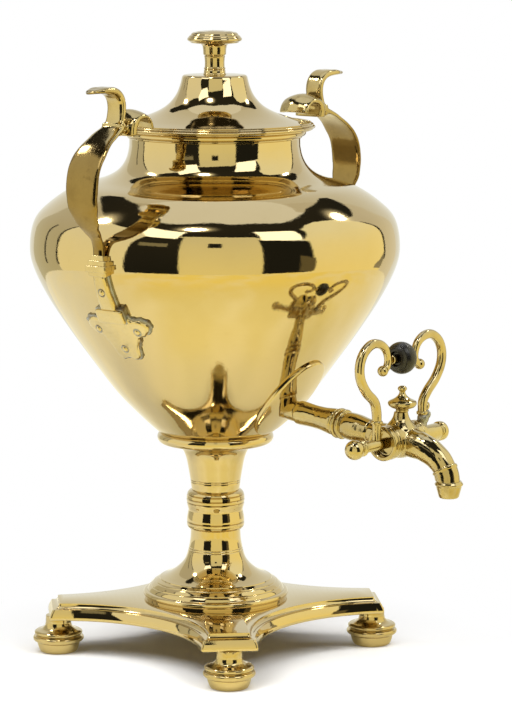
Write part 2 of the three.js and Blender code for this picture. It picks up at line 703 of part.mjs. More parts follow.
function plateFrom(outline, from, to, turn) {
  const shape = new THREE.Shape(outline.map(([across, height]) => new THREE.Vector2(across, height)));
  const block = new THREE.ExtrudeGeometry(shape, { depth: 100, bevelEnabled: false, steps: 1 });
  block.rotateX(Math.PI / 2).rotateZ(Math.PI / 2).translate(60, 0, 0);
  return toSolid(block).intersect(sheetOnBody(from, to, turn));
}

function bothHalves(half) {
  return [...half, ...half.slice(1, -1).reverse().map(([across, height]) => [-across, height])];
}

function box(halfWidth, low, high, lowHalfWidth = halfWidth) {
  return [[-lowHalfWidth, low], [lowHalfWidth, low], [halfWidth, high], [-halfWidth, high]];
}

// The terminal: a moulded block, a tapered shank, a step and the lobed plate, all bent to the body
function handleTerminal(turn) {
  const plate = plateFrom(bothHalves(terminalHalf), SEAT_GAP, SEAT_GAP + TERMINAL_THICKNESS, turn);
  const step = plateFrom(box(11, 244.6, 253.4), SEAT_GAP, 4.8, turn);
  const shank = plateFrom(box(4.6, 252.4, 276.6, 6.4), SEAT_GAP, SHANK_THICKNESS, turn);
  const block = plateFrom(box(7.2, 275.6, 285.2), SEAT_GAP, 5.4, turn);
  const fillet = plateFrom(box(8.2, 278.4, 282.2), SEAT_GAP, 6.6, turn);
  return plate.add(step).add(shank).add(block).add(fillet);
}

// Places of the rivet heads as [name, across, height, seat above the body]
const rivetPlaces = [
  ["near_ear", -16, 238.4, TERMINAL_THICKNESS + SEAT_GAP],
  ["far_ear", 16, 238.4, TERMINAL_THICKNESS + SEAT_GAP],
  ["tail", 0, 225.4, TERMINAL_THICKNESS + SEAT_GAP],
  ["shank", 0, 265.4, SHANK_THICKNESS],
];

// A flat-headed rivet that follows the surface it is closed on
function rivetHead(across, height, seat, turn) {
  const head = cylinder(RIVET_RADIUS, 100, 8).rotateZ(Math.PI / 2).translate(110, across, height);
  const underside = seat + SEAT_GAP;
  return toSolid(head).intersect(sheetOnBody(underside, underside + RIVET_HEIGHT, turn));
}

function addHandle(urn, side, turn) {
  const handle = new THREE.Group();
  handle.rotation.z = THREE.MathUtils.degToRad(turn);
  handle.add(part(`${side}_handle_strap`, handleStrap(), handleBrass));
  handle.add(part(`${side}_handle_scroll`, handleScroll(), handleBrass));
  handle.add(part(`${side}_handle_thumbpiece`, handleThumbpiece(), handleBrass));
  handle.add(part(`${side}_handle_terminal`, handleTerminal(turn), handleBrass));
  for (const [place, across, height, seat] of rivetPlaces) {
    handle.add(part(`${side}_handle_rivet_${place}`, rivetHead(across, height, seat, turn), handleBrass));
  }
  urn.add(handle);
}

// The rosette: an oval plate bent onto the cone where the tap leaves the body
function tapRosette() {
  const upSlope = new THREE.Vector3(0, -Math.sin(ROSETTE_SLOPE), Math.cos(ROSETTE_SLOPE));
  const centre = onTapAxis(ROSETTE_DISTANCE).addScaledVector(upSlope, ROSETTE_RISE);
  const disc = cylinder(1, 40, 24).scale(ROSETTE_HALF_WIDTH, 1, ROSETTE_HALF_LENGTH);
  disc.rotateX(ROSETTE_SLOPE).translate(0, centre.y, centre.z);
  const hole = alongTap(cylinder(6.8 + SEAT_GAP, 80, 16).rotateX(Math.PI / 2).translate(0, 0, 105));
  const sheet = sheetOnBody(SEAT_GAP, SEAT_GAP + ROSETTE_THICKNESS);
  return toSolid(disc).intersect(sheet).subtract(toSolid(hole));
}

// The shank: a turned tube from the rosette to the valve, its tail inside the body
function tapShank() {
  const outline = [
    [BORE_RADIUS, 24], [7.2, 24], [8.3, 29.4], [9.3, 38], [9.2, 46], [9.7, 47.4], [9.7, 51.6],
    [8.7, 57.6], [7.4, 63.6], [6.4, 70], [6.4, 76], [7.1, 82.6], [7, 86], [TAIL_RADIUS, 87],
    [TAIL_RADIUS, SHANK_END], [BORE_RADIUS, SHANK_END],
  ];
  return toSolid(alongTap(turned(outline, 14)));
}

// Centre line and radii of the spout, from the valve out and down to the nozzle
const spoutPath = new THREE.SplineCurve([
  new THREE.Vector2(-VALVE_OUT + 6, VALVE_HEIGHT + 0.6), new THREE.Vector2(-VALVE_OUT - 8, VALVE_HEIGHT - 0.9),
  new THREE.Vector2(-VALVE_OUT - 20, VALVE_HEIGHT - 3.4),
  new THREE.Vector2(-VALVE_OUT - 30.6, VALVE_HEIGHT - 9),
  new THREE.Vector2(-VALVE_OUT - 37, VALVE_HEIGHT - 17.4),
  new THREE.Vector2(-VALVE_OUT - SPOUT_REACH, VALVE_HEIGHT - 29.1),
]);
const spoutRadii = [[0, 10], [0.24, 9.6], [0.4, 9], [0.6, 8.3], [0.72, 7.8], [1, 7.4]];

function alongSpout(radii, sides) {
  const points = spoutPath.getPoints(radii.length - 1).map((p) => new THREE.Vector3(0, p.x, p.y));
  return toSolid(taperedRod(points, radii, new THREE.Vector3(1, 0, 0), sides));
}

// A shape turned about the plug's axis, which runs along X at the given height
function acrossTap(outline, sides, height = VALVE_HEIGHT) {
  return turned(outline, sides).rotateY(Math.PI / 2).translate(0, -VALVE_OUT, height);
}

// The valve body: a barrel across the tap, its inlet, the spout and the boss that carries the finial
function valveBody() {
  const barrelOutline = [
    [0, BARREL_NEAR], [BARREL_RADIUS, BARREL_NEAR], [BARREL_RADIUS, BARREL_NEAR + 4.4],
    [BARREL_RADIUS - 0.7, BARREL_NEAR + 5], [10.9, -8], [12.2, 0], [10.9, 8], [BARREL_RADIUS - 0.4, BARREL_FAR],
    [0, BARREL_FAR],
  ];
  const inlet = alongTap(turned([[0, 0], [8.6, 0], [8, 12], [7.6, 23.7], [0, 23.7]], 14));
  const bossBottom = VALVE_HEIGHT + 2;
  const boss = turned(
    [
      [0, bossBottom], [11.4, bossBottom], [10.4, 175.4], [7.4, 178],
      [5.2, 181.4], [4.4, BOSS_TOP], [0, BOSS_TOP],
    ],
    12,
  ).translate(0, -VALVE_OUT, 0);
  const outside = toSolid(acrossTap(barrelOutline, 16))
    .add(toSolid(inlet))
    .add(toSolid(boss))
    .add(alongSpout(sizesAlong(spoutRadii, 10), 12));
  const below = new THREE.BoxGeometry(40, 40, 20).translate(0, -VALVE_OUT - SPOUT_REACH, SPOUT_BOTTOM - 10);
  const inletBore = cylinder(BORE_RADIUS, 40, 12).rotateX(Math.PI / 2).translate(0, 0, 15);
  const recess = cylinder(8.6, 14, 18).rotateZ(Math.PI / 2);
  recess.translate(BARREL_NEAR - 1, -VALVE_OUT, VALVE_HEIGHT);
  return outside
    .subtract(toSolid(below))
    .subtract(alongSpout(Array(7).fill(BORE_RADIUS), 8))
    .subtract(toSolid(alongTap(inletBore)))
    .subtract(toSolid(plugSeat()))
    .subtract(toSolid(recess));
}

// The tapered seat that is cut for the plug, one gap larger than the plug all round
function plugSeat() {
  const outline = [
    [0, PLUG_NEAR - SEAT_GAP], [PLUG_RADIUS + SEAT_GAP, PLUG_NEAR - SEAT_GAP],
    [PLUG_RADIUS - 1 + SEAT_GAP, BARREL_FAR + 1], [0, BARREL_FAR + 1],
  ];
  return acrossTap(outline, 12);
}

// The plug with its cross bore, a thin spindle on the near side and a thick one on the far side
function plug() {
  const outline = [
    [0, -SPINDLE_NEAR_REACH], [SPINDLE_NEAR_RADIUS, -SPINDLE_NEAR_REACH], [SPINDLE_NEAR_RADIUS, PLUG_NEAR],
    [PLUG_RADIUS, PLUG_NEAR], [PLUG_RADIUS - 1, BARREL_FAR], [5.2, BARREL_FAR], [5.2, 20],
    [SPINDLE_FAR_RADIUS, 20.6], [SPINDLE_FAR_RADIUS, SPINDLE_FAR_REACH], [2.4, SPINDLE_FAR_REACH],
    [2.4, SPINDLE_FAR_REACH + 5], [0, SPINDLE_FAR_REACH + 5],
  ];
  const bore = cylinder(BORE_RADIUS, 30, 10).rotateX(Math.PI / 2 + TAP_FALL);
  bore.translate(0, -VALVE_OUT, VALVE_HEIGHT);
  return toSolid(acrossTap(outline, 12)).subtract(toSolid(bore));
}

// The washer that holds the plug in its seat
function plugWasher() {
  const outline = [
    [5.2 + SEAT_GAP, BARREL_FAR + SEAT_GAP], [WASHER_RADIUS, BARREL_FAR + SEAT_GAP],
    [WASHER_RADIUS, WASHER_TOP], [5.5, WASHER_TOP],
  ];
  return acrossTap(outline, 16);
}

// The ball on the spindle's near end, behind a small neck ring
function spindleBall() {
  const seat = -SPINDLE_NEAR_REACH - SEAT_GAP;
  const middle = seat - 8.6;
  const outline = [
    [0, seat], [4.6, seat], [5.2, seat - 0.6], [5.2, seat - 1.6], [3.9, seat - 2.6],
    ...roundOf(0, middle, BALL_RADIUS, 50, -90, 5).slice(0, -1), [0, middle - BALL_RADIUS],
  ];
  return acrossTap(outline, 12);
}

// The cap on the spindle's far end, hollow over the spindle's tip
function spindleCap() {
  const seat = SPINDLE_FAR_REACH + SEAT_GAP;
  const outline = [
    [2.4 + SEAT_GAP, seat], [5.2, seat], [5.4, seat + 0.7], [6.4, seat + 1.5], [6.4, seat + 4.6],
    [4.8, seat + 7.2], [0, seat + 8.1],
    [0, seat + 5], [2.4 + SEAT_GAP, seat + 5],
  ];
  return acrossTap(outline, 14);
}

// The nozzle: a flared ring over a short taper
function nozzle() {
  const top = SPOUT_BOTTOM - SEAT_GAP;
  const outline = [
    [BORE_RADIUS, top], [7.6, top], [9.3, top - 1.7], [9, top - 2.8], [8.4, top - 3.4],
    [6.6, NOZZLE_BOTTOM + 1.2], [5.8, NOZZLE_BOTTOM], [BORE_RADIUS, NOZZLE_BOTTOM],
  ];
  return turned(outline, 14).translate(0, -VALVE_OUT - SPOUT_REACH, 0);
}

// The small turned finial on the valve: a mushroom disc under a knob
function tapFinial() {
  const seat = BOSS_TOP + SEAT_GAP;
  const outline = [
    [0, seat], [4.2, seat], [4.6, seat + 1.4], [8, seat + 3.4], [9.6, seat + 5.6], [8, seat + 7.8],
    [3.8, seat + 10.2], [1.9, seat + 13.2], [3.1, seat + 15.4], [0, seat + 17.6],
  ];
  return turned(outline, 12).translate(0, -VALVE_OUT - 1, 0);
}

// One side of the lyre: up from the spindle, out, over the top and down to a small curl
const leverLine = [
  [29.4, 195.4], [37.6, 202.4], [43.6, 211.2], [44.6, 220], [40.8, 227.8],
  [33, 232.7], [25, 232.7], [18.2, 229.2], [14.8, 223.4], [15, 217.6], [18.6, 214.4],
];

function leverArm(side, root, foot) {
  const points = smooth([[root, foot], [root, 183], [root + 0.6, 189], ...leverLine], 16);
  const path = points.map(([x, z]) => new THREE.Vector3(side * x, -VALVE_OUT, z));
  const radii = sizesAlong([[0, 2.9], [0.2, LEVER_RADIUS], [0.7, LEVER_RADIUS], [1, 2.5]], path.length);
  const arm = toSolid(taperedRod(path, radii, new THREE.Vector3(0, 1, 0), 8));
  const curl = new THREE.SphereGeometry(3.6, 8, 5).translate(side * CURL_REACH, -VALVE_OUT, CURL_HEIGHT);
  const collar = cylinder(3.9, 2.6, 10).rotateX(Math.PI / 2);
  collar.translate(side * root, -VALVE_OUT, LEVER_COLLAR_HEIGHT);
  return arm.add(toSolid(curl)).add(toSolid(collar));
}

// The grip: a brass pin between the arms, through a turned bead
function gripPin() {
  const shoulder = BEAD_HALF_LENGTH - BEAD_DISH + SEAT_GAP;
  const half = [[PIN_RADIUS, shoulder], [3.1, shoulder], [3.1, PIN_HALF_LENGTH], [0, PIN_HALF_LENGTH]];
  const outline = [...half.map(([r, x]) => [r, -x]).reverse(), ...half];
  return acrossTap(outline, 12, GRIP_HEIGHT);
}

// A turned bead with a dished face at each end
function gripBead() {
  const lip = 5.2;
  const curve = new THREE.EllipseCurve(0, 0, BEAD_RADIUS - lip, BEAD_HALF_LENGTH, -Math.PI / 2, Math.PI / 2);
  const rounded = curve.getPoints(6).map((p) => [p.x + lip, p.y]);
  const hole = PIN_RADIUS + SEAT_GAP;
  const dish = BEAD_HALF_LENGTH - BEAD_DISH;
  const outline = [[hole, -dish], [hole + 1.2, -dish], ...rounded, [hole + 1.2, dish], [hole, dish]];
  return acrossTap(outline, 16, GRIP_HEIGHT);
}

function addTap(urn) {
  urn.add(part("tap_rosette", tapRosette(), brass));
  urn.add(part("tap_shank", tapShank(), brass));
  urn.add(part("valve_body", valveBody(), brass));
  urn.add(part("spout_nozzle", nozzle(), brass));
  urn.add(part("tap_finial", tapFinial(), brass));
  urn.add(part("tap_plug", plug(), brass));
  urn.add(part("plug_washer", plugWasher(), brass));
  urn.add(part("spindle_ball", spindleBall(), brass));
  urn.add(part("spindle_cap", spindleCap(), brass));
  const nearFoot = VALVE_HEIGHT + SPINDLE_NEAR_RADIUS + SEAT_GAP;
  const farFoot = VALVE_HEIGHT + SPINDLE_FAR_RADIUS + SEAT_GAP;
  urn.add(part("lever_arm_near", leverArm(-1, LEVER_NEAR_ROOT, nearFoot), brass));
  urn.add(part("lever_arm_far", leverArm(1, LEVER_FAR_ROOT, farFoot), brass));
  urn.add(part("grip_pin", gripPin(), brass));
  urn.add(part("grip_bead", gripBead(), ebonised));
}

const urn = new THREE.Group();
addBase(urn);
addPedestal(urn);
addBodyAndLid(urn);
addHeater(urn);
addHandle(urn, "right", 0);
addHandle(urn, "left", 180 + LEFT_HANDLE_TURN);
addTap(urn);
urn.position.y = AXIS_SETBACK;

export default urn;
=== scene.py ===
"""Looks of a brass tea urn on a square pedestal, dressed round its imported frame.

Sizes in the classes are millimetres round the urn's own axis. A finished mesh is in metres in the
shared frame, where that axis stands a little behind the origin.
"""

import logging
import math
from collections.abc import Callable, Iterable, Sequence
from dataclasses import dataclass, field
from enum import Enum
from functools import cache

import bmesh
import bpy
from mathutils import Matrix, Vector


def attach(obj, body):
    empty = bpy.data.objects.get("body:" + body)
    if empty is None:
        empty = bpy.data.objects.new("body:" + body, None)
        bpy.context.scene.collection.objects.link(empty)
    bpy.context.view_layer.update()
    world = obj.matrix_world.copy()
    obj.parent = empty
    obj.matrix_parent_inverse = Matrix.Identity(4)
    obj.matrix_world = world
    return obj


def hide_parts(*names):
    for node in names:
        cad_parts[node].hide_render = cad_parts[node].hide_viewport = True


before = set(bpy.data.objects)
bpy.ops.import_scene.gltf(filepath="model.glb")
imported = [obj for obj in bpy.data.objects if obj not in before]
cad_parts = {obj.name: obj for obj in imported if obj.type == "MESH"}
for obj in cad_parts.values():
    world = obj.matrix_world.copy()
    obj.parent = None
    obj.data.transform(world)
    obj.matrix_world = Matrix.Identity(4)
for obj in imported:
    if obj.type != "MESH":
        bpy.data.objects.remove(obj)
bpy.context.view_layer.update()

LOG = logging.getLogger("tea_urn")
MM = 0.001
AXIS_SETBACK = 41.3
SHARP_ANGLE = math.radians(38)
BLUNT_ANGLE = math.radians(9)
SAME_PLACE = 1e-5
SEAM = 1e-4
CAVITY = "cavity"
Point = tuple[float, float]
Colour = tuple[float, float, float]


class Body(Enum):
    """The moving bodies of the frame."""

    URN = "urn"
    LID = "lid"
    LEVER = "tap_lever"
    COVER = "tube_cover"
    IRON = "iron"


class Slot(Enum):
    """The record's material slots."""

    POLISHED = "polished_brass"
    HANDLE = "handle_brass"
    INNER = "inner_brass"
    IRON = "iron"
    BEAD = "black_bead"


# ---------------------------------------------------------------- shader expressions


@dataclass(frozen=True)
class Noise:
    """A noise: features in a metre, number of finer layers and their weight."""

    scale: float
    detail: float
    rough: float = 0.55


class Signal:
    """A shader socket that can be written in expressions."""

    def __init__(self, shader: "Shader", socket: bpy.types.NodeSocket) -> None:
        """Keeps the socket and the shader that it belongs to."""
        self.shader = shader
        self.socket = socket

    def _math(self, operation: str, first: object, second: object) -> "Signal":
        """Adds a Math node."""
        return self.shader.node("ShaderNodeMath", {0: first, 1: second}, operation=operation)

    def __add__(self, other: object) -> "Signal":
        """Sum."""
        return self._math("ADD", self, other)

    def __radd__(self, other: object) -> "Signal":
        """Sum, reflected."""
        return self._math("ADD", other, self)

    def __sub__(self, other: object) -> "Signal":
        """Difference."""
        return self._math("SUBTRACT", self, other)

    def __rsub__(self, other: object) -> "Signal":
        """Difference, reflected."""
        return self._math("SUBTRACT", other, self)

    def __mul__(self, other: object) -> "Signal":
        """Product."""
        return self._math("MULTIPLY", self, other)

    def __rmul__(self, other: object) -> "Signal":
        """Product, reflected."""
        return self._math("MULTIPLY", other, self)

    def __pow__(self, other: object) -> "Signal":
        """Power."""
        return self._math("POWER", self, other)

    def ramp(self, low: float, high: float) -> "Signal":
        """Rises smoothly from 0 at low to 1 at high.

        Args:
            low: The value that gives 0.
            high: The value that gives 1.

        Returns:
            The ramped signal.
        """
        links = {"Value": self, "From Min": low, "From Max": high}
        return self.shader.node("ShaderNodeMapRange", links, interpolation_type="SMOOTHSTEP")


class Shader:
    """A node tree with one method that makes its nodes."""

    def __init__(self, tree: bpy.types.NodeTree) -> None:
        """Empties the tree.

        Args:
            tree: The tree of a material or of the world.
        """
        self.tree = tree
        tree.nodes.clear()

    def node(self, kind: str, links: dict[object, object], output: object = 0, **settings: object) -> Signal:
        """Adds a node.

        Args:
            kind: The node's type.
            links: Values or signals of its inputs, by name or index.
            output: The output that is returned, by name or index.
            **settings: Properties that are set before the inputs.

        Returns:
            The chosen output.
        """
        made = self.tree.nodes.new(kind)
        for name, value in settings.items():
            setattr(made, name, value)
        for key, value in links.items():
            if isinstance(value, Signal):
                self.tree.links.new(value.socket, made.inputs[key])
            else:
                made.inputs[key].default_value = value
        return Signal(self, made.outputs[output] if len(made.outputs) else None)

    def mix(self, factor: object, first: object, second: object) -> Signal:
        """Mixes two colours.

        Args:
            factor: Share of the second colour.
            first: A colour or a signal.
            second: A colour or a signal.

        Returns:
            The mixed colour.
        """
        links = {"Factor": factor, 6: opaque(first), 7: opaque(second)}
        return self.node("ShaderNodeMix", links, output=2, data_type="RGBA")

    def where(self) -> Signal:
        """Object coordinates, in metres in the shared frame."""
        return self.node("ShaderNodeTexCoord", {}, output="Object")

    def rise(self, where: Signal) -> Signal:
        """Height of a place."""
        return self.node("ShaderNodeSeparateXYZ", {0: where}, output="Z")

    def ray(self, kind: str) -> Signal:
        """1 for rays of a kind, such as Camera, and 0 for the others."""
        return self.node("ShaderNodeLightPath", {}, output=f"Is {kind} Ray")

    def vector(self, operation: str, first: object, second: object = (0.0, 0.0, 0.0)) -> Signal:
        """Adds a Vector Math node.

        Args:
            operation: Its operation.
            first: A vector or a signal.
            second: A vector or a signal, where the operation takes two.

        Returns:
            A number where the operation measures something, or else a vector.
        """
        output = "Value" if operation in ("LENGTH", "DISTANCE", "DOT_PRODUCT") else "Vector"
        return self.node("ShaderNodeVectorMath", {0: first, 1: second}, output=output, operation=operation)

    def from_axis(self, where: Signal) -> Signal:
        """A place as seen from the foot of the urn's axis."""
        return self.vector("SUBTRACT", where, tuple(on_axis(0.0)))

    def noise(self, where: Signal, kind: Noise) -> Signal:
        """Adds a noise.

        Args:
            where: The coordinates that it reads.
            kind: Its settings.

        Returns:
            The noise's value, about 0.5 on average.
        """
        links = {"Vector": where, "Scale": kind.scale, "Detail": kind.detail, "Roughness": kind.rough}
        return self.node("ShaderNodeTexNoise", links)

    def bump(self, height: Signal, distance: float, under: object = None) -> Signal:
        """Adds a Bump node.

        Args:
            height: The height, from 0 to 1.
            distance: What a height of 1 stands for, in metres.
            under: The normal of a coarser bump below it, if there is one.

        Returns:
            The bumped normal.
        """
        links = {"Height": height, "Strength": 1.0, "Distance": distance}
        if under is not None:
            links["Normal"] = under
        return self.node("ShaderNodeBump", links)

    def principled(self, **sockets: object) -> None:
        """Closes a material with a Principled shader.

        Args:
            **sockets: Its inputs, with _ for a space.
        """
        links = {name.replace("_", " "): opaque(value) for name, value in sockets.items()}
        self.close(self.node("ShaderNodeBsdfPrincipled", links))

    def close(self, surface: Signal) -> None:
        """Links a surface to the material's output."""
        self.node("ShaderNodeOutputMaterial", {"Surface": surface})


def opaque(value: object) -> object:
    """Gives a colour of three numbers its alpha."""
    return (*value, 1.0) if isinstance(value, tuple) and len(value) == 3 else value


def on_axis(height: float) -> Vector:
    """The place on the urn's axis at a height, in metres in the shared frame."""
    return Vector((0, AXIS_SETBACK * MM, height))


def new_shader(name: str) -> tuple[bpy.types.Material, Shader]:
    """Makes an empty material.

    Args:
        name: The material's name.

    Returns:
        The material and its shader.
    """
    material = bpy.data.materials.new(name)
    material.use_nodes = True
    return material, Shader(material.node_tree)


# ---------------------------------------------------------------- finishes

TARNISH_CLOUDS = Noise(26.0, 5.0, 0.62)
STAINS = Noise(95.0, 6.0, 0.75)
SPECKS = Noise(310.0, 4.0, 0.7)
LATHE_LINES = Noise(900.0, 2.0, 0.6)
SOLDER_CLOUDS = Noise(180.0, 5.0, 0.7)
SOLDER_LUMPS = Noise(420.0, 3.0, 0.5)
WOOD_GRAIN = Noise(900.0, 6.0, 0.65)
WOOD_WEAR = Noise(130.0, 4.0, 0.6)
FIRE_SCALE = Noise(120.0, 8.0, 0.7)
RUST_BLOOM = Noise(55.0, 6.0, 0.68)
# Pale tone for the top of a handle: partly rubbed brass, partly painted sheen that stands in for its highlights.
RUBBED_AND_SHEEN_TONE = (0.56, 0.45, 0.23)
NO_RUBBED_AND_SHEEN_TOP = 9.0


@dataclass(frozen=True)
class Brass:
    """Brass, from mirror polish to a dull unpolished skin.

    Attributes:
        name: The material's name.
        face: Colour of the bare metal.
        shade: Colour of its tarnish.
        residue: Colour of what polish leaves in hollows.
        roughness: Roughness of the bare metal.
        tarnish: How much tarnish there is, from 0 to 1.
        wave: Depth of its dents, in metres.
        dents: Dents in a metre.
        lathe: Depth of its lathe lines, in metres.
        rubbed_and_sheen_height: Height in metres above which the brass turns paler, partly rubbed by hands and partly a
            painted sheen for the highlights of a handle's top.
    """

    name: str
    face: Colour
    shade: Colour
    residue: Colour
    roughness: float
    tarnish: float
    wave: float
    dents: float
    lathe: float
    # Above this height the face is mixed paler: partly wear from hands, partly painted sheen for highlights.
    rubbed_and_sheen_height: float = NO_RUBBED_AND_SHEEN_TOP

    def material(self) -> bpy.types.Material:
        """Builds the material.

        Returns:
            Brass with clouded tarnish, dark residue in hollows, faint dents and lathe lines.
        """
        material, shader = new_shader(self.name)
        where = shader.where()
        cavity = shader.node("ShaderNodeAttribute", {}, output="Fac", attribute_name=CAVITY)
        cloud = shader.noise(where, TARNISH_CLOUDS).ramp(0.34, 0.72)
        speck = shader.noise(where, SPECKS)
        stain = shader.noise(where, STAINS).ramp(0.56, 0.74)
        unevenness = speck - 0.5
        hollow = (cavity * 4.8 + unevenness * 0.4).ramp(0.16, 1.0)
        film = (cloud * 0.65 + stain * 0.55) * self.tarnish
        # Painted sheen together with real rubbing: above the set height the face turns to a paler tone.
        rubbed_and_sheen = shader.rise(where).ramp(self.rubbed_and_sheen_height, self.rubbed_and_sheen_height + 0.014)
        tone = shader.mix(film, shader.mix(rubbed_and_sheen, self.face, RUBBED_AND_SHEEN_TONE), self.shade)
        tone = shader.mix(hollow * 0.92, tone, self.residue)
        gloss = self.roughness + film * 0.16 + hollow * 0.3 + unevenness * (0.25 * self.roughness)
        speck_depth = 0.000012 + 0.00006 * self.tarnish
        normal = shader.bump(shader.noise(where, Noise(self.dents, 1.5)), self.wave)
        normal = shader.bump(speck, speck_depth, normal)
        if self.lathe:
            normal = shader.bump(self._rings(shader, where), self.lathe, normal)
        shader.principled(Base_Color=tone, Roughness=gloss, Metallic=1.0, Normal=normal)
        return material

    @staticmethod
    def _rings(shader: Shader, where: Signal) -> Signal:
        """Fine rings round the urn's axis, as a lathe and a polishing mop leave them.

        Args:
            shader: The shader that takes the nodes.
            where: Object coordinates.

        Returns:
            The height of the rings.
        """
        flat = shader.vector("MULTIPLY", shader.from_axis(where), (1.0, 1.0, 0.0))
        reach = shader.vector("LENGTH", flat)
        along = shader.node("ShaderNodeCombineXYZ", {"X": reach, "Z": shader.rise(where)})
        return shader.noise(along, LATHE_LINES)


@dataclass(frozen=True)
class Solder:
    """Soft solder run round a joint: grey, a little lumpy, stained brown."""

    name: str
    face: Colour
    stain: Colour

    def material(self) -> bpy.types.Material:
        """Builds the material.

        Returns:
            Lumpy grey solder.
        """
        material, shader = new_shader(self.name)
        where = shader.where()
        cloud = shader.noise(where, SOLDER_CLOUDS)
        shader.principled(
            Base_Color=shader.mix(cloud.ramp(0.4, 0.7), self.face, self.stain),
            Roughness=0.3 + cloud * 0.3,
            Metallic=1.0,
            Normal=shader.bump(shader.noise(where, SOLDER_LUMPS), 0.0004),
        )
        return material


@dataclass(frozen=True)
class EbonisedWood:
    """Turned wood stained black and waxed."""

    name: str
    face: Colour
    worn: Colour

    def material(self) -> bpy.types.Material:
        """Builds the material.

        Returns:
            Black wood with a fine grain and a soft wax sheen.
        """
        material, shader = new_shader(self.name)
        where = shader.where()
        drawn = shader.node("ShaderNodeMapping", {"Vector": where, "Scale": (0.12, 1.0, 1.0)})
        grain = shader.noise(drawn, WOOD_GRAIN)
        wear = shader.noise(where, WOOD_WEAR).ramp(0.5, 0.75)
        shader.principled(
            Base_Color=shader.mix(wear * 0.6 + grain * 0.3, self.face, self.worn),
            Roughness=0.3 + wear * 0.1 + grain * 0.06,
            Normal=shader.bump(grain, 0.00002),
            Coat_Weight=0.25 - wear * 0.15,
            Coat_Roughness=0.22,
        )
        return material


@dataclass(frozen=True)
class ScaledIron:
    """Cast iron with fire scale and a bloom of rust."""

    name: str
    face: Colour
    rust: Colour

    def material(self) -> bpy.types.Material:
        """Builds the material.

        Returns:
            Rough dark iron.
        """
        material, shader = new_shader(self.name)
        where = shader.where()
        rust = shader.noise(where, RUST_BLOOM).ramp(0.48, 0.7)
        shader.principled(
            Base_Color=shader.mix(rust * 0.8, self.face, self.rust),
            Roughness=0.62 + rust * 0.28,
            Metallic=0.85 - rust * 0.75,
            Normal=shader.bump(shader.noise(where, FIRE_SCALE), 0.0006),
        )
        return material


Finish = Brass | Solder | EbonisedWood | ScaledIron

POLISHED = Brass(
    name="polished_brass", face=(0.62, 0.50, 0.285), shade=(0.50, 0.385, 0.175), residue=(0.10, 0.06, 0.025),
    roughness=0.03, tarnish=0.2, wave=0.00006, dents=17.0, lathe=0.0000012,
)
CAST = Brass(
    name="cast_tap_brass", face=(0.57, 0.475, 0.27), shade=(0.22, 0.145, 0.06), residue=(0.03, 0.018, 0.009),
    roughness=0.045, tarnish=0.6, wave=0.0004, dents=120.0, lathe=0.0,
)
# Duller, more tarnished brass: on the lid's knob it is the knob's own dull skin, and on the feet it is painted shade
# for the shadow and plate underside they mirror.
DULL_KNOB_AND_SHADED_FOOT = Brass(
    name="dull_knob_and_shaded_foot_brass", face=(0.59, 0.475, 0.26), shade=(0.34, 0.245, 0.10), residue=(0.05, 0.03, 0.012),
    roughness=0.05, tarnish=0.55, wave=0.00018, dents=70.0, lathe=0.0,
)
# Darker face and shade than the body's brass: partly tarnish, partly painted shade for the dark room that the straps
# mirror.
HANDLE = Brass(
    name="handle_brass", face=(0.30, 0.21, 0.08), shade=(0.145, 0.095, 0.035), residue=(0.04, 0.025, 0.012),
    roughness=0.09, tarnish=0.85, wave=0.0003, dents=60.0, lathe=0.0, rubbed_and_sheen_height=0.354,
)
TERMINAL = Brass(
    name="terminal_brass", face=(0.67, 0.55, 0.31), shade=(0.35, 0.26, 0.12), residue=(0.07, 0.055, 0.04),
    roughness=0.09, tarnish=0.55, wave=0.0005, dents=150.0, lathe=0.0,
)
INNER = Brass(
    name="inner_brass", face=(0.50, 0.37, 0.19), shade=(0.26, 0.18, 0.10), residue=(0.07, 0.05, 0.03),
    roughness=0.42, tarnish=0.95, wave=0.0001, dents=17.0, lathe=0.0,
)
SOLDER = Solder(name="soft_solder", face=(0.40, 0.41, 0.42), stain=(0.22, 0.16, 0.10))
EBONY = EbonisedWood(name="ebonised_wood", face=(0.003, 0.003, 0.004), worn=(0.009, 0.008, 0.009))
IRON = ScaledIron(name="scaled_iron", face=(0.10, 0.095, 0.09), rust=(0.16, 0.065, 0.03))


@cache
def material_of(finish: Finish) -> bpy.types.Material:
    """Builds a finish's material once and hands it out."""
    return finish.material()


# ---------------------------------------------------------------- outlines


def spline(points: Sequence[Point], steps: int) -> list[Point]:
    """Runs a smooth line through outline points.

    Args:
        points: The points that it passes.
        steps: Number of pieces between the first and the last.

    Returns:
        The points of the line.
    """
    last = len(points) - 1
    line = []
    for step in range(steps + 1):
        place = last * step / steps
        at = min(int(place), last - 1)
        t = place - at
        a, b, c, d = (Vector(points[min(max(at + k, 0), last)]) for k in (-1, 0, 1, 2))
        start, end = (c - a) / 2, (d - b) / 2
        p = (2 * b - 2 * c + start + end) * t**3 + (3 * c - 3 * b - 2 * start - end) * t**2 + start * t + b
        line.append((p.x, p.y))
    return line


def even(points: Sequence[Point], spacing: float) -> list[Point]:
    """Spaces the points of a line evenly.

    Args:
        points: The line.
        spacing: Wanted distance between points.

    Returns:
        The evenly spaced line with the same ends.
    """
    run = [Vector(p) for p in points]
    lengths = [0.0]
    for a, b in zip(run, run[1:]):
        lengths.append(lengths[-1] + (b - a).length)
    count = max(2, round(lengths[-1] / spacing))
    line, at = [], 0
    for k in range(count + 1):
        goal = lengths[-1] * k / count
        while at < len(run) - 2 and lengths[at + 1] < goal:
            at += 1
        share = (goal - lengths[at]) / max(lengths[at + 1] - lengths[at], 1e-9)
        p = run[at].lerp(run[at + 1], share)
        line.append((p.x, p.y))
    return line


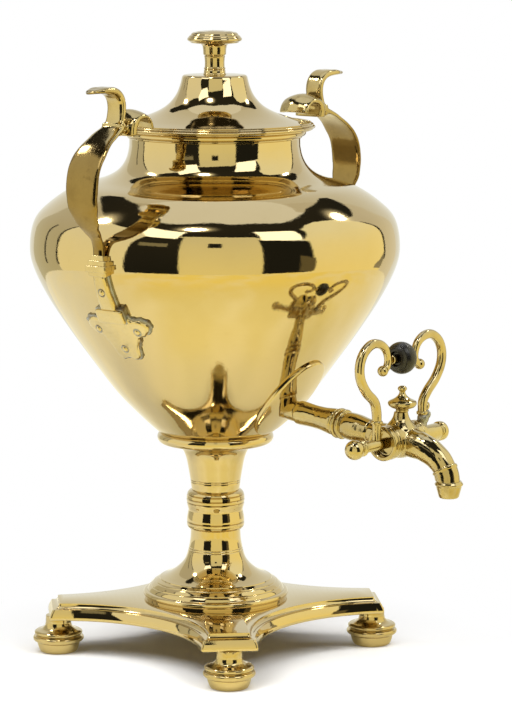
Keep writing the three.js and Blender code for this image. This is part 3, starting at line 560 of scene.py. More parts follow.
def relaxed(points: Sequence[Point], spacing: float, passes: int) -> list[Point]:
    """Evens a line out so that its curvature changes gently, as a spun sheet's does.

    Args:
        points: The line.
        spacing: Distance between points.
        passes: How often neighbours are averaged.

    Returns:
        The relaxed line with the same ends.
    """
    smoothing, keeping_size = 0.5, -0.47
    line = [Vector(p) for p in even(points, spacing)]
    for push in (smoothing, keeping_size) * passes:
        inner = [b + push * ((a + c) / 2 - b) for a, b, c in zip(line, line[1:], line[2:])]
        line = [line[0], *inner, line[-1]]
    return [(p.x, p.y) for p in line]


def softened(points: Sequence[Point], radius: float, steps: int = 3, closed: bool = False) -> list[Point]:
    """Rounds the corners of an outline.

    Args:
        points: The outline.
        radius: Largest distance from a corner at which its rounding starts.
        steps: Number of pieces of a rounding.
        closed: Whether the last point joins the first.

    Returns:
        The outline with rounded corners.
    """
    run = [Vector(p) for p in points]
    count = len(run)
    longest = 0.45
    line = []
    for i, corner in enumerate(run):
        before, after = run[i - 1] - corner, run[(i + 1) % count] - corner
        turn = math.pi - before.angle(after, math.pi)
        if turn < BLUNT_ANGLE or not closed and i in (0, count - 1):
            line.append((corner.x, corner.y))
            continue
        start = corner + before.normalized() * min(radius, before.length * longest)
        end = corner + after.normalized() * min(radius, after.length * longest)
        for k in range(steps + 1):
            t = k / steps
            p = start.lerp(corner, t).lerp(corner.lerp(end, t), t)
            line.append((p.x, p.y))
    return line


def arc(r: float, z: float, size: float, start: float, end: float, steps: int) -> list[Point]:
    """A round of an outline.

    Args:
        r: Radius of its centre.
        z: Height of its centre.
        size: Its own radius.
        start: First angle in degrees, from outward.
        end: Last angle in degrees.
        steps: Number of pieces.

    Returns:
        The points of the round.
    """
    angles = (math.radians(start + (end - start) * k / steps) for k in range(steps + 1))
    return [(r + size * math.cos(a), z + size * math.sin(a)) for a in angles]


def engraved(points: Sequence[Point], heights: Iterable[float], width: float, depth: float) -> list[Point]:
    """Cuts fine grooves across an outline that rises or falls all along.

    Args:
        points: The outline.
        heights: Heights of the grooves.
        width: Width of a groove.
        depth: Depth of a groove.

    Returns:
        The outline with its grooves.
    """
    line = [Vector(p) for p in points]
    for height in heights:
        for i, (a, b) in enumerate(zip(line, line[1:])):
            if min(a.y, b.y) <= height < max(a.y, b.y):
                along = (b - a).normalized()
                foot = a.lerp(b, (height - a.y) / (b.y - a.y))
                inward = Vector((-along.y, along.x))
                cut = [foot - along * width / 2, foot + inward * depth, foot + along * width / 2]
                head = [p for p in line[: i + 1] if (p - foot).length > width / 2]
                tail = [p for p in line[i + 1 :] if (p - foot).length > width / 2]
                line = head + cut + tail
                break
    return [(p.x, p.y) for p in line]


def shifted(points: Sequence[Point], distance: float) -> list[Point]:
    """Moves a line sideways, to the left of its direction.

    Args:
        points: The line.
        distance: How far it moves.

    Returns:
        The moved line.
    """
    run = [Vector(p) for p in points]
    line = []
    for i, p in enumerate(run):
        along = (run[min(i + 1, len(run) - 1)] - run[max(i - 1, 0)]).normalized()
        line.append((p.x - along.y * distance, p.y + along.x * distance))
    return line


def between(stations: Sequence[Point], share: float) -> float:
    """Reads a value off a few stations, with soft joints between them.

    Args:
        stations: Pairs of share and value.
        share: Where to read.

    Returns:
        The value there.
    """
    for (a, low), (b, high) in zip(stations, stations[1:]):
        if share <= b:
            t = (share - a) / (b - a)
            return low + (high - low) * t * t * (3 - 2 * t)
    return stations[-1][1]


# ---------------------------------------------------------------- meshes


def as_mesh(name: str, bm: bmesh.types.BMesh) -> bpy.types.Mesh:
    """Makes a mesh of a bmesh, which is freed.

    Args:
        name: The mesh's name.
        bm: The bmesh.

    Returns:
        The mesh.
    """
    mesh = bpy.data.meshes.new(name)
    bm.to_mesh(mesh)
    bm.free()
    return mesh


def put(name: str, data: bpy.types.ID) -> bpy.types.Object:
    """Puts a mesh, lamp or camera in the scene.

    Args:
        name: The object's name.
        data: What it holds.

    Returns:
        The object.
    """
    item = bpy.data.objects.new(name, data)
    bpy.context.scene.collection.objects.link(item)
    return item


def turned(profile: Sequence[Point], segments: int = 96) -> bmesh.types.BMesh:
    """Turns an outline of radius and height round the upright axis.

    Args:
        profile: The outline; one that keeps off the axis closes on itself.
        segments: Number of pieces round the axis.

    Returns:
        The closed mesh.
    """
    bm = bmesh.new()
    verts = [bm.verts.new((r, 0.0, z)) for r, z in profile]
    edges = [bm.edges.new(pair) for pair in zip(verts, verts[1:])]
    if profile[0][0] > 0 or profile[-1][0] > 0:
        edges.append(bm.edges.new((verts[-1], verts[0])))
    bmesh.ops.spin(
        bm, geom=verts + edges, cent=(0, 0, 0), axis=(0, 0, 1), dvec=(0, 0, 0), angle=math.tau, steps=segments,
        use_merge=True, use_duplicate=False,
    )
    return cleaned(bm)


def skin(around: int, along: int, place: Callable[[int, int], Vector]) -> bmesh.types.BMesh:
    """Bends a flat grid into a closed skin.

    Args:
        around: Number of corners of a section.
        along: Number of pieces along the skin.
        place: Gives a corner's place from its number in the section and its section's number.

    Returns:
        The mesh, closed by a face at each end.
    """
    bm = bmesh.new()
    bmesh.ops.create_grid(bm, x_segments=around, y_segments=along, size=1.0)
    for vert in bm.verts:
        i = round((vert.co.x + 1) / 2 * around) % around
        vert.co = place(i, round((vert.co.y + 1) / 2 * along))
    bmesh.ops.remove_doubles(bm, verts=bm.verts, dist=SAME_PLACE)
    bmesh.ops.holes_fill(bm, edges=[e for e in bm.edges if e.is_boundary], sides=0)
    return cleaned(bm)


def sphere(radius: float, around: int, upward: int) -> bmesh.types.BMesh:
    """Makes a ball at the middle.

    Args:
        radius: Its radius.
        around: Number of faces round it.
        upward: Number of faces from pole to pole.

    Returns:
        Its mesh.
    """
    bm = bmesh.new()
    bmesh.ops.create_uvsphere(bm, u_segments=around, v_segments=upward, radius=radius)
    return bm


def cleaned(bm: bmesh.types.BMesh) -> bmesh.types.BMesh:
    """Merges doubles and turns the faces outward.

    Args:
        bm: The mesh.

    Returns:
        The same mesh.
    """
    bmesh.ops.remove_doubles(bm, verts=bm.verts, dist=SEAM)
    bmesh.ops.dissolve_degenerate(bm, edges=bm.edges, dist=SAME_PLACE)
    bmesh.ops.recalc_face_normals(bm, faces=bm.faces)
    return bm


def moved(bm: bmesh.types.BMesh, matrix: Matrix) -> bmesh.types.BMesh:
    """Moves a mesh and keeps its faces outward.

    Args:
        bm: The mesh.
        matrix: The move.

    Returns:
        The same mesh.
    """
    bmesh.ops.transform(bm, matrix=matrix, verts=bm.verts)
    bmesh.ops.recalc_face_normals(bm, faces=bm.faces)
    return bm


def joined(meshes: Sequence[bmesh.types.BMesh]) -> bmesh.types.BMesh:
    """Puts several meshes into the first.

    Args:
        meshes: The meshes.

    Returns:
        The first mesh with the others in it.
    """
    first = meshes[0]
    for other in meshes[1:]:
        held = as_mesh("held", other)
        first.from_mesh(held)
        bpy.data.meshes.remove(held)
    return first


def fused(meshes: Sequence[bmesh.types.BMesh], grain: float, passes: int) -> bmesh.types.BMesh:
    """Melts overlapping solids into one casting with soft inner corners.

    Args:
        meshes: The solids.
        grain: Size of the cells that the casting is rebuilt in.
        passes: How often its surface is smoothed.

    Returns:
        The casting.
    """
    held = as_mesh("casting", joined(meshes))
    raw = put("casting", held)
    melt =raw.modifiers.new("melt", "REMESH")
    melt.mode = "VOXEL"
    melt.voxel_size = grain
    graph = bpy.context.evaluated_depsgraph_get()
    bm = bmesh.new()
    bm.from_mesh(raw.evaluated_get(graph).to_mesh())
    bpy.data.objects.remove(raw)
    bpy.data.meshes.remove(held)
    for _ in range(passes):
        bmesh.ops.smooth_vert(bm, verts=bm.verts, factor=0.5, use_axis_x=True, use_axis_y=True, use_axis_z=True)
    return cleaned(bm)


def mark_hollows(bm: bmesh.types.BMesh) -> None:
    """Writes how deep each corner lies in a hollow, which the finishes darken.

    Args:
        bm: The mesh.
    """
    layer = bm.verts.layers.float.new(CAVITY)
    bm.normal_update()
    found = {}
    for vert in bm.verts:
        reach = [edge.other_vert(vert).co - vert.co for edge in vert.link_edges]
        found[vert] = sum(vert.normal.dot(r) / max(r.length, 1e-6) for r in reach) / max(len(reach), 1)
    for _ in range(2):
        found = {
            vert: 0.5 * value + 0.5 * sum(found[e.other_vert(vert)] for e in vert.link_edges) / len(vert.link_edges)
            for vert, value in found.items()
        }
    for vert, value in found.items():
        vert[layer] = value


def add_piece(
    name: str,
    bm: bmesh.types.BMesh,
    finish: Finish,
    slot: Slot,
    nodes: Sequence[str] = (),
    body: Body = Body.URN,
    lining: Finish | None = None,
) -> None:
    """Makes a finished piece of a mesh and hands it to the frame.

    Args:
        name: The piece's name.
        bm: Its mesh, in millimetres round the urn's axis.
        finish: Its finish.
        slot: The record's slot that it is made of; not used.
        nodes: The solids that it stands for.
        body: The body that it rides on.
        lining: The finish of the faces that look at the axis, if it differs.
    """
    mark_hollows(bm)
    for face in bm.faces:
        face.smooth = True
        centre = face.calc_center_median()
        outward = face.normal.x * centre.x + face.normal.y * centre.y
        face.material_index = 1 if lining is not None and outward < -0.01 else 0
    for edge in bm.edges:
        edge.smooth = edge.calc_face_angle(0.0) < SHARP_ANGLE
    bm.transform(Matrix.Scale(MM, 4) @ Matrix.Translation((0, AXIS_SETBACK, 0)))
    mesh = as_mesh(name, bm)
    mesh.materials.append(material_of(finish))
    if lining is not None:
        mesh.materials.append(material_of(lining))
    piece = put(name, mesh)
    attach(piece, body.value)
    if nodes:
        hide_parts(*nodes)
    LOG.info("%s: %d faces, stands for %s", name, len(mesh.polygons), ", ".join(nodes) or "trim")


def dress_nodes(names: Iterable[str], finish: Finish) -> None:
    """Gives solids that stay in view their finish.

    Args:
        names: The solids' names.
        finish: The finish.
    """
    for name in names:
        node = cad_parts[name]
        for slot in node.material_slots:
            slot.material = material_of(finish)
        LOG.info("%s: dressed in %s", name, finish.name)


# ---------------------------------------------------------------- base and pedestal


@dataclass
class Base:
    """The square plate with hollowed sides, and its four turned feet."""

    foot_height: float = 25.3
    foot_circle: float = 110.0
    plate_bottom: float = 25.6
    plate_top: float = 36.8
    edge_top: float = 32.9
    inset: float = 7.0
    waist: float = 68.0
    corner_reach: float = 116.5
    corner_half_width: float = 19.0
    wall: float = 3.4
    pocket_reach: float = 98.0

    def build(self) -> None:
        """Builds the plate and the feet."""
        add_piece("base_plate_cast", self.plate(), POLISHED, Slot.POLISHED, ["base_plate"])
        side = self.foot_circle * math.sqrt(0.5)
        for row, y in (("front", -side), ("back", side)):
            for column, x in (("left", -side), ("right", side)):
                place = f"{row}_{column}"
                bm = moved(self.foot(), Matrix.Translation((x, y, 0)))
                # The feet are darkened by their finish: painted shade for the shadow and the plate's underside that
                # they mirror.
                add_piece(f"turned_foot_{place}", bm, DULL_KNOB_AND_SHADED_FOOT, Slot.POLISHED, [f"foot_{place}"])
                dress_nodes([f"foot_stud_{place}"], INNER)

    def outline(self, inset: float) -> list[Point]:
        """The plate's outline.

        Args:
            inset: How far it lies inside the lowest edge.

        Returns:
            Its corners, all round.
        """
        reach = self.corner_reach - inset
        half = self.corner_half_width - 0.8 * inset
        waist = self.waist - inset
        corner = Vector((reach + half, reach - half)) * math.sqrt(0.5)
        rise = corner.x - waist
        hollow = (rise * rise + corner.y * corner.y) / (2 * rise)
        spread = math.asin(corner.y / hollow)
        line = []
        for quarter in range(4):
            for k in range(33):
                angle = math.pi + spread - 2 * spread * k / 32
                p = Vector((waist + hollow * (1 + math.cos(angle)), hollow * math.sin(angle)))
                p.rotate(Matrix.Rotation(quarter * math.pi / 2, 2))
                line.append((p.x, p.y))
        return softened(line, 1.6, 4, closed=True)

    def plate(self) -> bmesh.types.BMesh:
        """The plate, with the hollow below it.

        Returns:
            Its mesh.
        """
        cove = self.plate_top - self.edge_top
        levels = [
            (self.plate_top - self.wall, self.wall + 0.6, True),
            (self.plate_bottom + 0.4, self.wall, True),
            (self.plate_bottom, self.wall - 0.4, True),
            (self.plate_bottom, 0.8, False),
            (self.plate_bottom + 0.3, 0.25, False),
            (self.plate_bottom + 0.9, 0.0, False),
            (self.plate_bottom + 2.4, 0.18, False),
            (self.plate_bottom + 3.6, 0.5, False),
            (self.plate_bottom + 4.8, 0.98, False),
            (self.plate_bottom + 5.8, 1.5, False),
            (self.edge_top - 0.6, 1.98, False),
            (self.edge_top, 2.3, False),
        ]
        for k in range(1, 9):
            angle = math.radians(11.25 * k)
            z = self.edge_top + (cove - 0.5) * (1 - math.cos(angle))
            levels.append((z, 2.6 + 4.0 * math.sin(angle), False))
        levels += [(self.plate_top - 0.15, 6.6, False), (self.plate_top, 7.1, False)]
        rows = [(z, self.outline(inset), pocket) for z, inset, pocket in levels]

        def place(i: int, j: int) -> Vector:
            """A corner of the plate; the hollow stops short of the feet.

            Args:
                i: Its number in the outline.
                j: Number of its level.

            Returns:
                Its place.
            """
            z, outline, pocket = rows[j]
            x, y = outline[i]
            shrink = min(1.0, self.pocket_reach / math.hypot(x, y)) if pocket else 1.0
            return Vector((x * shrink, y * shrink, z))

        return skin(len(rows[0][1]), len(rows) - 1, place)

    def foot(self) -> bmesh.types.BMesh:
        """A turned foot: a pad that tapers down, two rings and a narrow neck.

        Returns:
            Its mesh, at the middle.
        """
        profile = [
            (0, 0), (11.8, 0), (12.8, 0.6), (13.6, 2.2), (14.3, 4.2), (14.7, 6.0), (14.6, 6.9), (15.3, 7.3),
            (16.8, 8.0), (17.6, 9.0), (17.6, 10.4), (16.9, 11.3), (15.4, 11.7), (15.4, 12.1), (16.2, 12.6),
            (16.7, 13.4), (16.5, 14.4), (15.4, 15.2), (13.2, 15.6), (11.6, 16.2), (10.2, 17.2), (9.3, 18.6),
            (8.8, 20.6), (8.6, self.foot_height + 0.4), (0, self.foot_height + 0.4),
        ]
        return turned(softened(profile, 0.35), 64)


@dataclass
class Pedestal:
    """The turned pieces that are threaded on the tie rod."""

    disc_radius: float = 50.5
    rod_hole: float = 4.3
    knop_bottom: float = 85.3
    knop_top: float = 112.6
    stem_top: float = 146.0
    collar_top: float = 154.3
    line_width: float = 1.0
    line_depth: float = 0.3
    knop_grooves: tuple[float, ...] = (87.6, 90.2, 104.0, 106.6, 109.6)
    groove_width: float = 1.2
    groove_depth: float = 0.6

    def build(self) -> None:
        """Builds foot, knop, stem and collar and dresses the rod."""
        parts = {"foot": self.foot(), "knop": self.knop(), "stem": self.stem(), "collar": self.collar()}
        for name, bm in parts.items():
            add_piece(f"turned_{name}", bm, POLISHED, Slot.POLISHED, [f"pedestal_{name}"])
        dress_nodes(["tie_rod", "tie_rod_lower_nut", "tie_rod_upper_nut"], INNER)

    def foot(self) -> bmesh.types.BMesh:
        """The domed disc that sweeps up into the lower trumpet.

        Returns:
            Its mesh.
        """
        edge = [(self.disc_radius - 1.0, 36.85), *arc(self.disc_radius - 2.2, 40.3, 2.2, -55, 74, 12)]
        dome = spline([(47.6, 42.6), (46.4, 44.6), (44.6, 46.6), (42.6, 48.4), (40.4, 49.7), (39.2, 50.4)], 20)
        dome = engraved(dome, [45.6, 48.6], self.line_width, self.line_depth)
        sweep = spline(
            [(38.6, 51.1), (36.5, 51.7), (30.8, 54.4), (25, 59), (21, 64.2), (18.9, 71), (17.6, 78), (17.2, 85.4)], 60
        )
        sweep = engraved(relaxed(sweep, 0.8, 12), [70.4, 71.9], self.line_width, self.line_depth)
        inside = [(12, 71.3), (14.4, 68), (22, 52), (42.5, 42.1), (42.5, 36.85)]
        hole = [(self.rod_hole, 85.4), (self.rod_hole, 77.3)]
        return turned([*edge, (47.9, 42.4), *dome, (39.0, 50.9), *sweep, *hole, *inside])

    def knop(self) -> bmesh.types.BMesh:
        """The knop: two low swells with cut grooves and a shallow waist between them.

        Returns:
            Its mesh.
        """
        low, high = self.knop_bottom - 0.1, self.knop_top + 0.1
        line = [
            (17.2, low), (18.6, low + 0.6), (19.4, low + 1.6), (19.9, low + 3.0), (20.0, low + 5.0), (19.9, low + 7.4),
            (19.6, low + 9.6), (19.2, low + 11.8), (18.9, low + 13.4), (19.2, low + 15.0), (19.8, low + 17.2),
            (20.1, low + 19.4), (20.2, low + 21.6), (20.0, high - 4.0), (19.5, high - 2.2), (18.6, high - 0.9),
            (17.4, high),
        ]
        line = engraved(spline(line, 90), self.knop_grooves, self.groove_width, self.groove_depth)
        return turned([(self.rod_hole, low), *line, (self.rod_hole, high)])

    def stem(self) -> bmesh.types.BMesh:
        """The upper stem that widens in a hollow curve up to the collar.

        Returns:
            Its mesh.
        """
        low, high = self.knop_top, self.stem_top + 0.4
        line = [(16.5, low), (16.9, 115), (17.5, 119.6), (18.7, 127), (20.6, 136), (23.9, 142.4), (31, high)]
        line = engraved(relaxed(spline(line, 60), 0.8, 10), [118.6, 120.0], self.line_width, self.line_depth)
        inside = [(26, high), (18, 139), (14.6, 128), (13.4, 118), (self.rod_hole, 117.6)]
        return turned([(self.rod_hole, low), *line, *inside])

    def collar(self) -> bmesh.types.BMesh:
        """The dished collar that the body's bottom edge stands in.

        Returns:
            Its mesh.
        """
        rounded = arc(36.1, 150.3, 4.2, -62, 66, 16)
        profile = [
            (self.rod_hole, 146.3), (36.4, 146.3), (37.6, 146.45), *rounded, (37.7, self.collar_top),
            (36.6, self.collar_top), (36.6, 150.4), (self.rod_hole, 150.4),
        ]
        return turned(profile)


# ---------------------------------------------------------------- body, lid and heater


@dataclass
class Vessel:
    """The body in two brazed halves, its neck and the rolled rim."""

    wall: float = 1.8
    rod_hole: float = 4.3
    neck_radius: float = 58.4
    neck_top: float = 357.4
    rim_radius: float = 62.4
    rim_top: float = 362.8
    stations: tuple[Point, ...] = (
        (39.9, 154.8), (50.6, 164.7), (67.6, 182.4), (84.3, 204.6), (100.3, 227), (114.3, 248.8), (124.2, 269),
        (126.9, 284), (123.6, 301.5), (113.6, 312.7), (97, 323.4), (77, 329.3), (66, 335.4), (60.4, 343.6),
        (58.5, 352),
    )
    line: list[Point] = field(init=False)

    def __post_init__(self) -> None:
        """Works out the body's outline."""
        self.line = relaxed(spline(self.stations, 220), 1.5, 14)

    def build(self) -> None:
        """Builds the body and the rim."""
        add_piece(
            "spun_body", self.body(), POLISHED, Slot.POLISHED, ["body_bowl", "body_shoulder"], lining=INNER
        )
        add_piece("rolled_rim", self.rim(), POLISHED, Slot.POLISHED, ["neck_rim"])

    def body(self) -> bmesh.types.BMesh:
        """One wall from the flat bottom over the shoulder to the neck.

        Returns:
            Its mesh.
        """
        inside = shifted(self.line, self.wall)[1::2]
        profile = [
            (self.rod_hole, 150.7), (36, 150.7), (36, 154.5), (39.3, 154.5), *self.line,
            (self.neck_radius, self.neck_top), (self.neck_radius - self.wall, self.neck_top), *reversed(inside),
            (34.2, 154.6), (34.2, 152.5), (self.rod_hole, 152.5),
        ]
        return turned(profile, 144)

    def rim(self) -> bmesh.types.BMesh:
        """The rolled rim with a small step under it.

        Returns:
            Its mesh.
        """
        low = 357.2
        size = (self.rim_top - low - 1.5) / 2
        roll = arc(self.rim_radius - size, self.rim_top - size, size, -84, 92, 14)
        profile = [
            (56.6, low), (58.9, low), (59.5, low + 0.2), (59.8, low + 0.7), (59.7, low + 1.3), *roll,
            (57.2, self.rim_top), (56.6, self.rim_top - 0.5),
        ]
        return turned(profile, 128)

    def on_skin(self, across: float, height: float, lift: float) -> tuple[float, float, float]:
        """Bends a flat place onto the body, on the side that a plate is fixed to.

        Args:
            across: Distance across from the plate's middle line.
            height: Height of the place.
            lift: Distance from the body's surface.

        Returns:
            Outward distance, across and height.
        """
        for (r0, z0), (r1, z1) in zip(self.line, self.line[1:]):
            if z0 <= height <= z1:
                share = (height - z0) / (z1 - z0)
                break
        length = math.hypot(r1 - r0, z1 - z0)
        reach = r0 + (r1 - r0) * share + lift * (z1 - z0) / length
        return math.sqrt(max(reach * reach - across * across, 0.0)), across, height - lift * (r1 - r0) / length

    def sheet(self, outline: Sequence[Point], low: float, high: float, edge: float) -> bmesh.types.BMesh:
        """Cuts a plate to an outline and bends it onto the body.

        Args:
            outline: The plate's corners as across and height.
            low: Distance of its back from the body.
            high: Distance of its face from the body.
            edge: Size of its rounded edge.

        Returns:
            Its mesh on the +X side.
        """
        bm = bmesh.new()
        bm.faces.new([bm.verts.new((a, h, low)) for a, h in outline])
        grown = bmesh.ops.extrude_face_region(bm, geom=bm.faces[:])["geom"]
        top = [item for item in grown if isinstance(item, bmesh.types.BMVert)]
        bmesh.ops.translate(bm, verts=top, vec=(0, 0, high - low))
        bmesh.ops.recalc_face_normals(bm, faces=bm.faces)
        rim = [e for e in bm.edges if all(v.co.z > (low + high) / 2 for v in e.verts)]
        bmesh.ops.bevel(
            bm, geom=rim, offset=edge, offset_type="OFFSET", affect="EDGES", segments=3, profile=0.5, material=-1,
            clamp_overlap=True,
        )
        for axis, spacing in ((0, 1.6), (1, 2.2)):
            values = [corner[axis] for corner in outline]
            start, end = min(values), max(values)
            plane = Vector((0, 0, 0))
            plane[axis] = 1
            for k in range(1, int((end - start) / spacing) + 1):
                geom = bm.verts[:] + bm.edges[:] + bm.faces[:]
                spot = plane * (start + k * spacing)
                bmesh.ops.bisect_plane(bm, geom=geom, dist=SAME_PLACE, plane_co=spot, plane_no=plane)
        for vert in bm.verts:
            vert.co = self.on_skin(vert.co.x, vert.co.y, vert.co.z)
        return cleaned(bm)


@dataclass
class Lid:
    """The bell-shaped lid, its moulded edge and the finial."""

    wall: float = 1.6
    crown: float = 400.0
    finial_top: float = 430.0

    def build(self) -> None:
        """Builds the lid's pieces."""
        add_piece(
            "lid_bell", self.bell(), POLISHED, Slot.POLISHED, ["lid_shell"], Body.LID, lining=INNER
        )
        add_piece("lid_edge", self.edge(), POLISHED, Slot.POLISHED, ["lid_rim"], Body.LID)
        add_piece("lid_knob", self.finial(), DULL_KNOB_AND_SHADED_FOOT, Slot.POLISHED, ["lid_finial"], Body.LID)
        dress_nodes(["finial_nut"], INNER)

    def bell(self) -> bmesh.types.BMesh:
        """The flat-topped bell that sweeps out almost level to its edge.

        Returns:
            Its mesh.
        """
        points = [(22.3, 398.4), (24, 392), (27, 385.6), (33, 379), (42, 374), (54, 370), (64.5, 367.6)]
        sweep = relaxed(spline(points, 80), 1.0, 12)
        crown = spline([(20.2, 400.0), (21.1, 399.8), (21.9, 399.2), (22.3, 398.4)], 8)
        inside = shifted(sweep, -self.wall)[1::2]
        profile = [
            (2.9, self.crown), *crown[:-1], *sweep, (64.9, 366.0), *reversed(inside), (19.6, 398.4), (2.9, 398.4)
        ]
        return turned(profile, 128)

    def edge(self) -> bmesh.types.BMesh:
        """The moulded edge of fine rings, with the skirt that drops into the neck.

        Returns:
            Its mesh.
        """
        profile = [
            (54.5, 350), (55.9, 350), (55.9, 363.0), (66.9, 363.0), (66.7, 363.4), (66.7, 363.8), (67.9, 364.0),
            (68.6, 364.4), (68.6, 365.1), (68.2, 365.5), (66.9, 365.6), (66.9, 365.9), (67.6, 366.3), (67.3, 366.9),
            (65.9, 367.1), (65.9, 367.4), (66.1, 367.8), (65.5, 368.0), (64.8, 367.7), (64.4, 367.0), (64.4, 365.7),
            (54.5, 365.7),
        ]
        return turned(softened(profile, 0.25, 2), 128)

    def finial(self) -> bmesh.types.BMesh:
        """The turned knob: a ringed stem under a stepped disc.

        Returns:
            Its mesh.
        """
        seat = self.crown
        disc = self.finial_top - 9
        profile = [
            (0, 391), (2.5, 391), (2.5, seat - 0.2), (7.8, seat - 0.1), (7.9, seat + 0.7), (7.4, seat + 1.1),
            (7.4, seat + 3.0), (7.0, seat + 3.3), (7.0, seat + 3.6), (7.4, seat + 4.0), (7.4, seat + 4.6),
            (6.8, seat + 5.0), (6.7, seat + 8.4), (6.9, seat + 11.6), (7.3, seat + 12.4), (6.8, seat + 12.7),
            (6.9, seat + 13.2), (7.8, seat + 13.7), (7.9, seat + 17.0), (8.3, disc - 1.4), (9.4, disc - 0.2),
            (11.5, disc + 0.1), (15.6, disc + 0.5), (16.6, disc + 0.9), (16.8, disc + 1.5), (18.1, disc + 1.9),
            (18.8, disc + 3.0), (18.3, disc + 4.1), (17.6, disc + 4.6), (17.5, disc + 5.2), (16.6, disc + 5.7),
            (16.0, disc + 6.2), (15.8, disc + 6.9), (14.6, disc + 7.7), (13.2, disc + 7.9), (12.9, disc + 7.6),
            (12.5, disc + 8.1), (10.6, disc + 8.5), (7.2, disc + 8.6), (6.8, disc + 8.35), (6.4, disc + 8.7),
            (3.5, disc + 8.95), (0, self.finial_top),
        ]
        return turned(softened(profile, 0.4, 2), 96)


@dataclass
class Heater:
    """The tube that stands in the water, its cover and the iron."""

    radius: float = 26.0
    wall: float = 1.6
    top: float = 318.0

    def build(self) -> None:
        """Builds the heater's pieces."""
        add_piece("heating_tube", self.tube(), INNER, Slot.INNER, ["heater_tube"])
        add_piece("tube_lid", self.cover(), INNER, Slot.INNER, ["heater_cover"], Body.COVER)
        add_piece("hot_iron", self.iron(), IRON, Slot.IRON, ["heater_iron"], Body.IRON)

    def tube(self) -> bmesh.types.BMesh:
        """The closed tube on its open skirt.

        Returns:
            Its mesh.
        """
        bore = self.radius - self.wall
        profile = [
            (0, 164.4), (bore, 164.4), (bore, 152.8), (29, 152.8), (29, 154.4), (26, 155.2), (self.radius, self.top),
            (bore, self.top), (bore, 166), (0, 166),
        ]
        return turned(softened(profile, 0.5, 2), 64)

    def cover(self) -> bmesh.types.BMesh:
        """The loose cover with its turned knob.

        Returns:
            Its mesh.
        """
        seat = self.top + 0.3
        profile = [
            (0, seat - 0.2), (26.5, seat), (26.5, seat - 6), (27.9, seat - 6), (27.9, seat + 0.8), (24, seat + 1.8),
            (6, seat + 2.4), (4, seat + 3.4), (3.4, seat + 5), (3.8, seat + 7), (6, seat + 9), (6.6, seat + 10.6),
            (5.8, seat + 12.4), (3, seat + 13.5), (0, seat + 13.8),
        ]
        return turned(softened(profile, 0.6, 3), 64)

    def iron(self) -> bmesh.types.BMesh:
        """The plain cylinder with an eye for a lifting hook.

        Returns:
            Its mesh.
        """
        low, high = 166.3, 278.3
        bar = turned(softened([(0, low), (19, low), (21, low + 2), (21, high - 2), (19, high), (0, high)], 0.8), 48)
        upright = Matrix.Translation((0, 0, high + 4.4)) @ Matrix.Rotation(math.pi / 2, 4, "X")
        return joined([bar, moved(turned(arc(5, 0, 1.8, 0, 345, 23), 40), upright)])


# ---------------------------------------------------------------- handles


@dataclass(frozen=True)
class Raised:
    """A tapered block on the body: half width and height of its lower and of its upper edge.

    Attributes:
        below: The lower edge.
        above: The upper edge.
        corner: How far its corners are rounded.
        face: Distance of its face from the body.
        edge: Size of its rounded edge.
        back: Distance of its back from the body.
    """

    below: Point
    above: Point
    corner: float
    face: float
    edge: float
    back: float = 0.1

    def on(self, vessel: Vessel) -> bmesh.types.BMesh:
        """Bends the block onto the body.

        Args:
            vessel: The body.

        Returns:
            Its mesh on the +X side.
        """
        (a, low), (b, high) = self.below, self.above
        outline = [(-a, low), (a, low), (b, high), (-b, high)]
        if self.corner:
            outline = softened(outline, self.corner, 3, closed=True)
        return vessel.sheet(outline, self.back, self.face, self.edge)


TERMINAL_STEP = Raised((11, 244.6), (10.6, 253.4), 1.2, 5.4, 2.0)
TERMINAL_SHANK = Raised((6.4, 252.4), (4.8, 276.6), 0.0, 4.4, 1.8)
TERMINAL_BLOCK = Raised((7.2, 275.6), (7.2, 285.2), 0.8, 5.4, 1.2)
TERMINAL_BAND = Raised((8.2, 278.4), (8.2, 282.2), 0.6, 6.9, 1.6)
TERMINAL_NECK = Raised((5.6, 284.6), (4.8, 288.4), 0.6, 4.6, 1.2)
SHANK_SOLDER = Raised((7.8, 250), (6.6, 276), 1.0, 1.7, 0.9, back=0.0)
STEP_SOLDER = Raised((11.7, 243.9), (11.3, 254.1), 1.2, 3.35, 0.2)


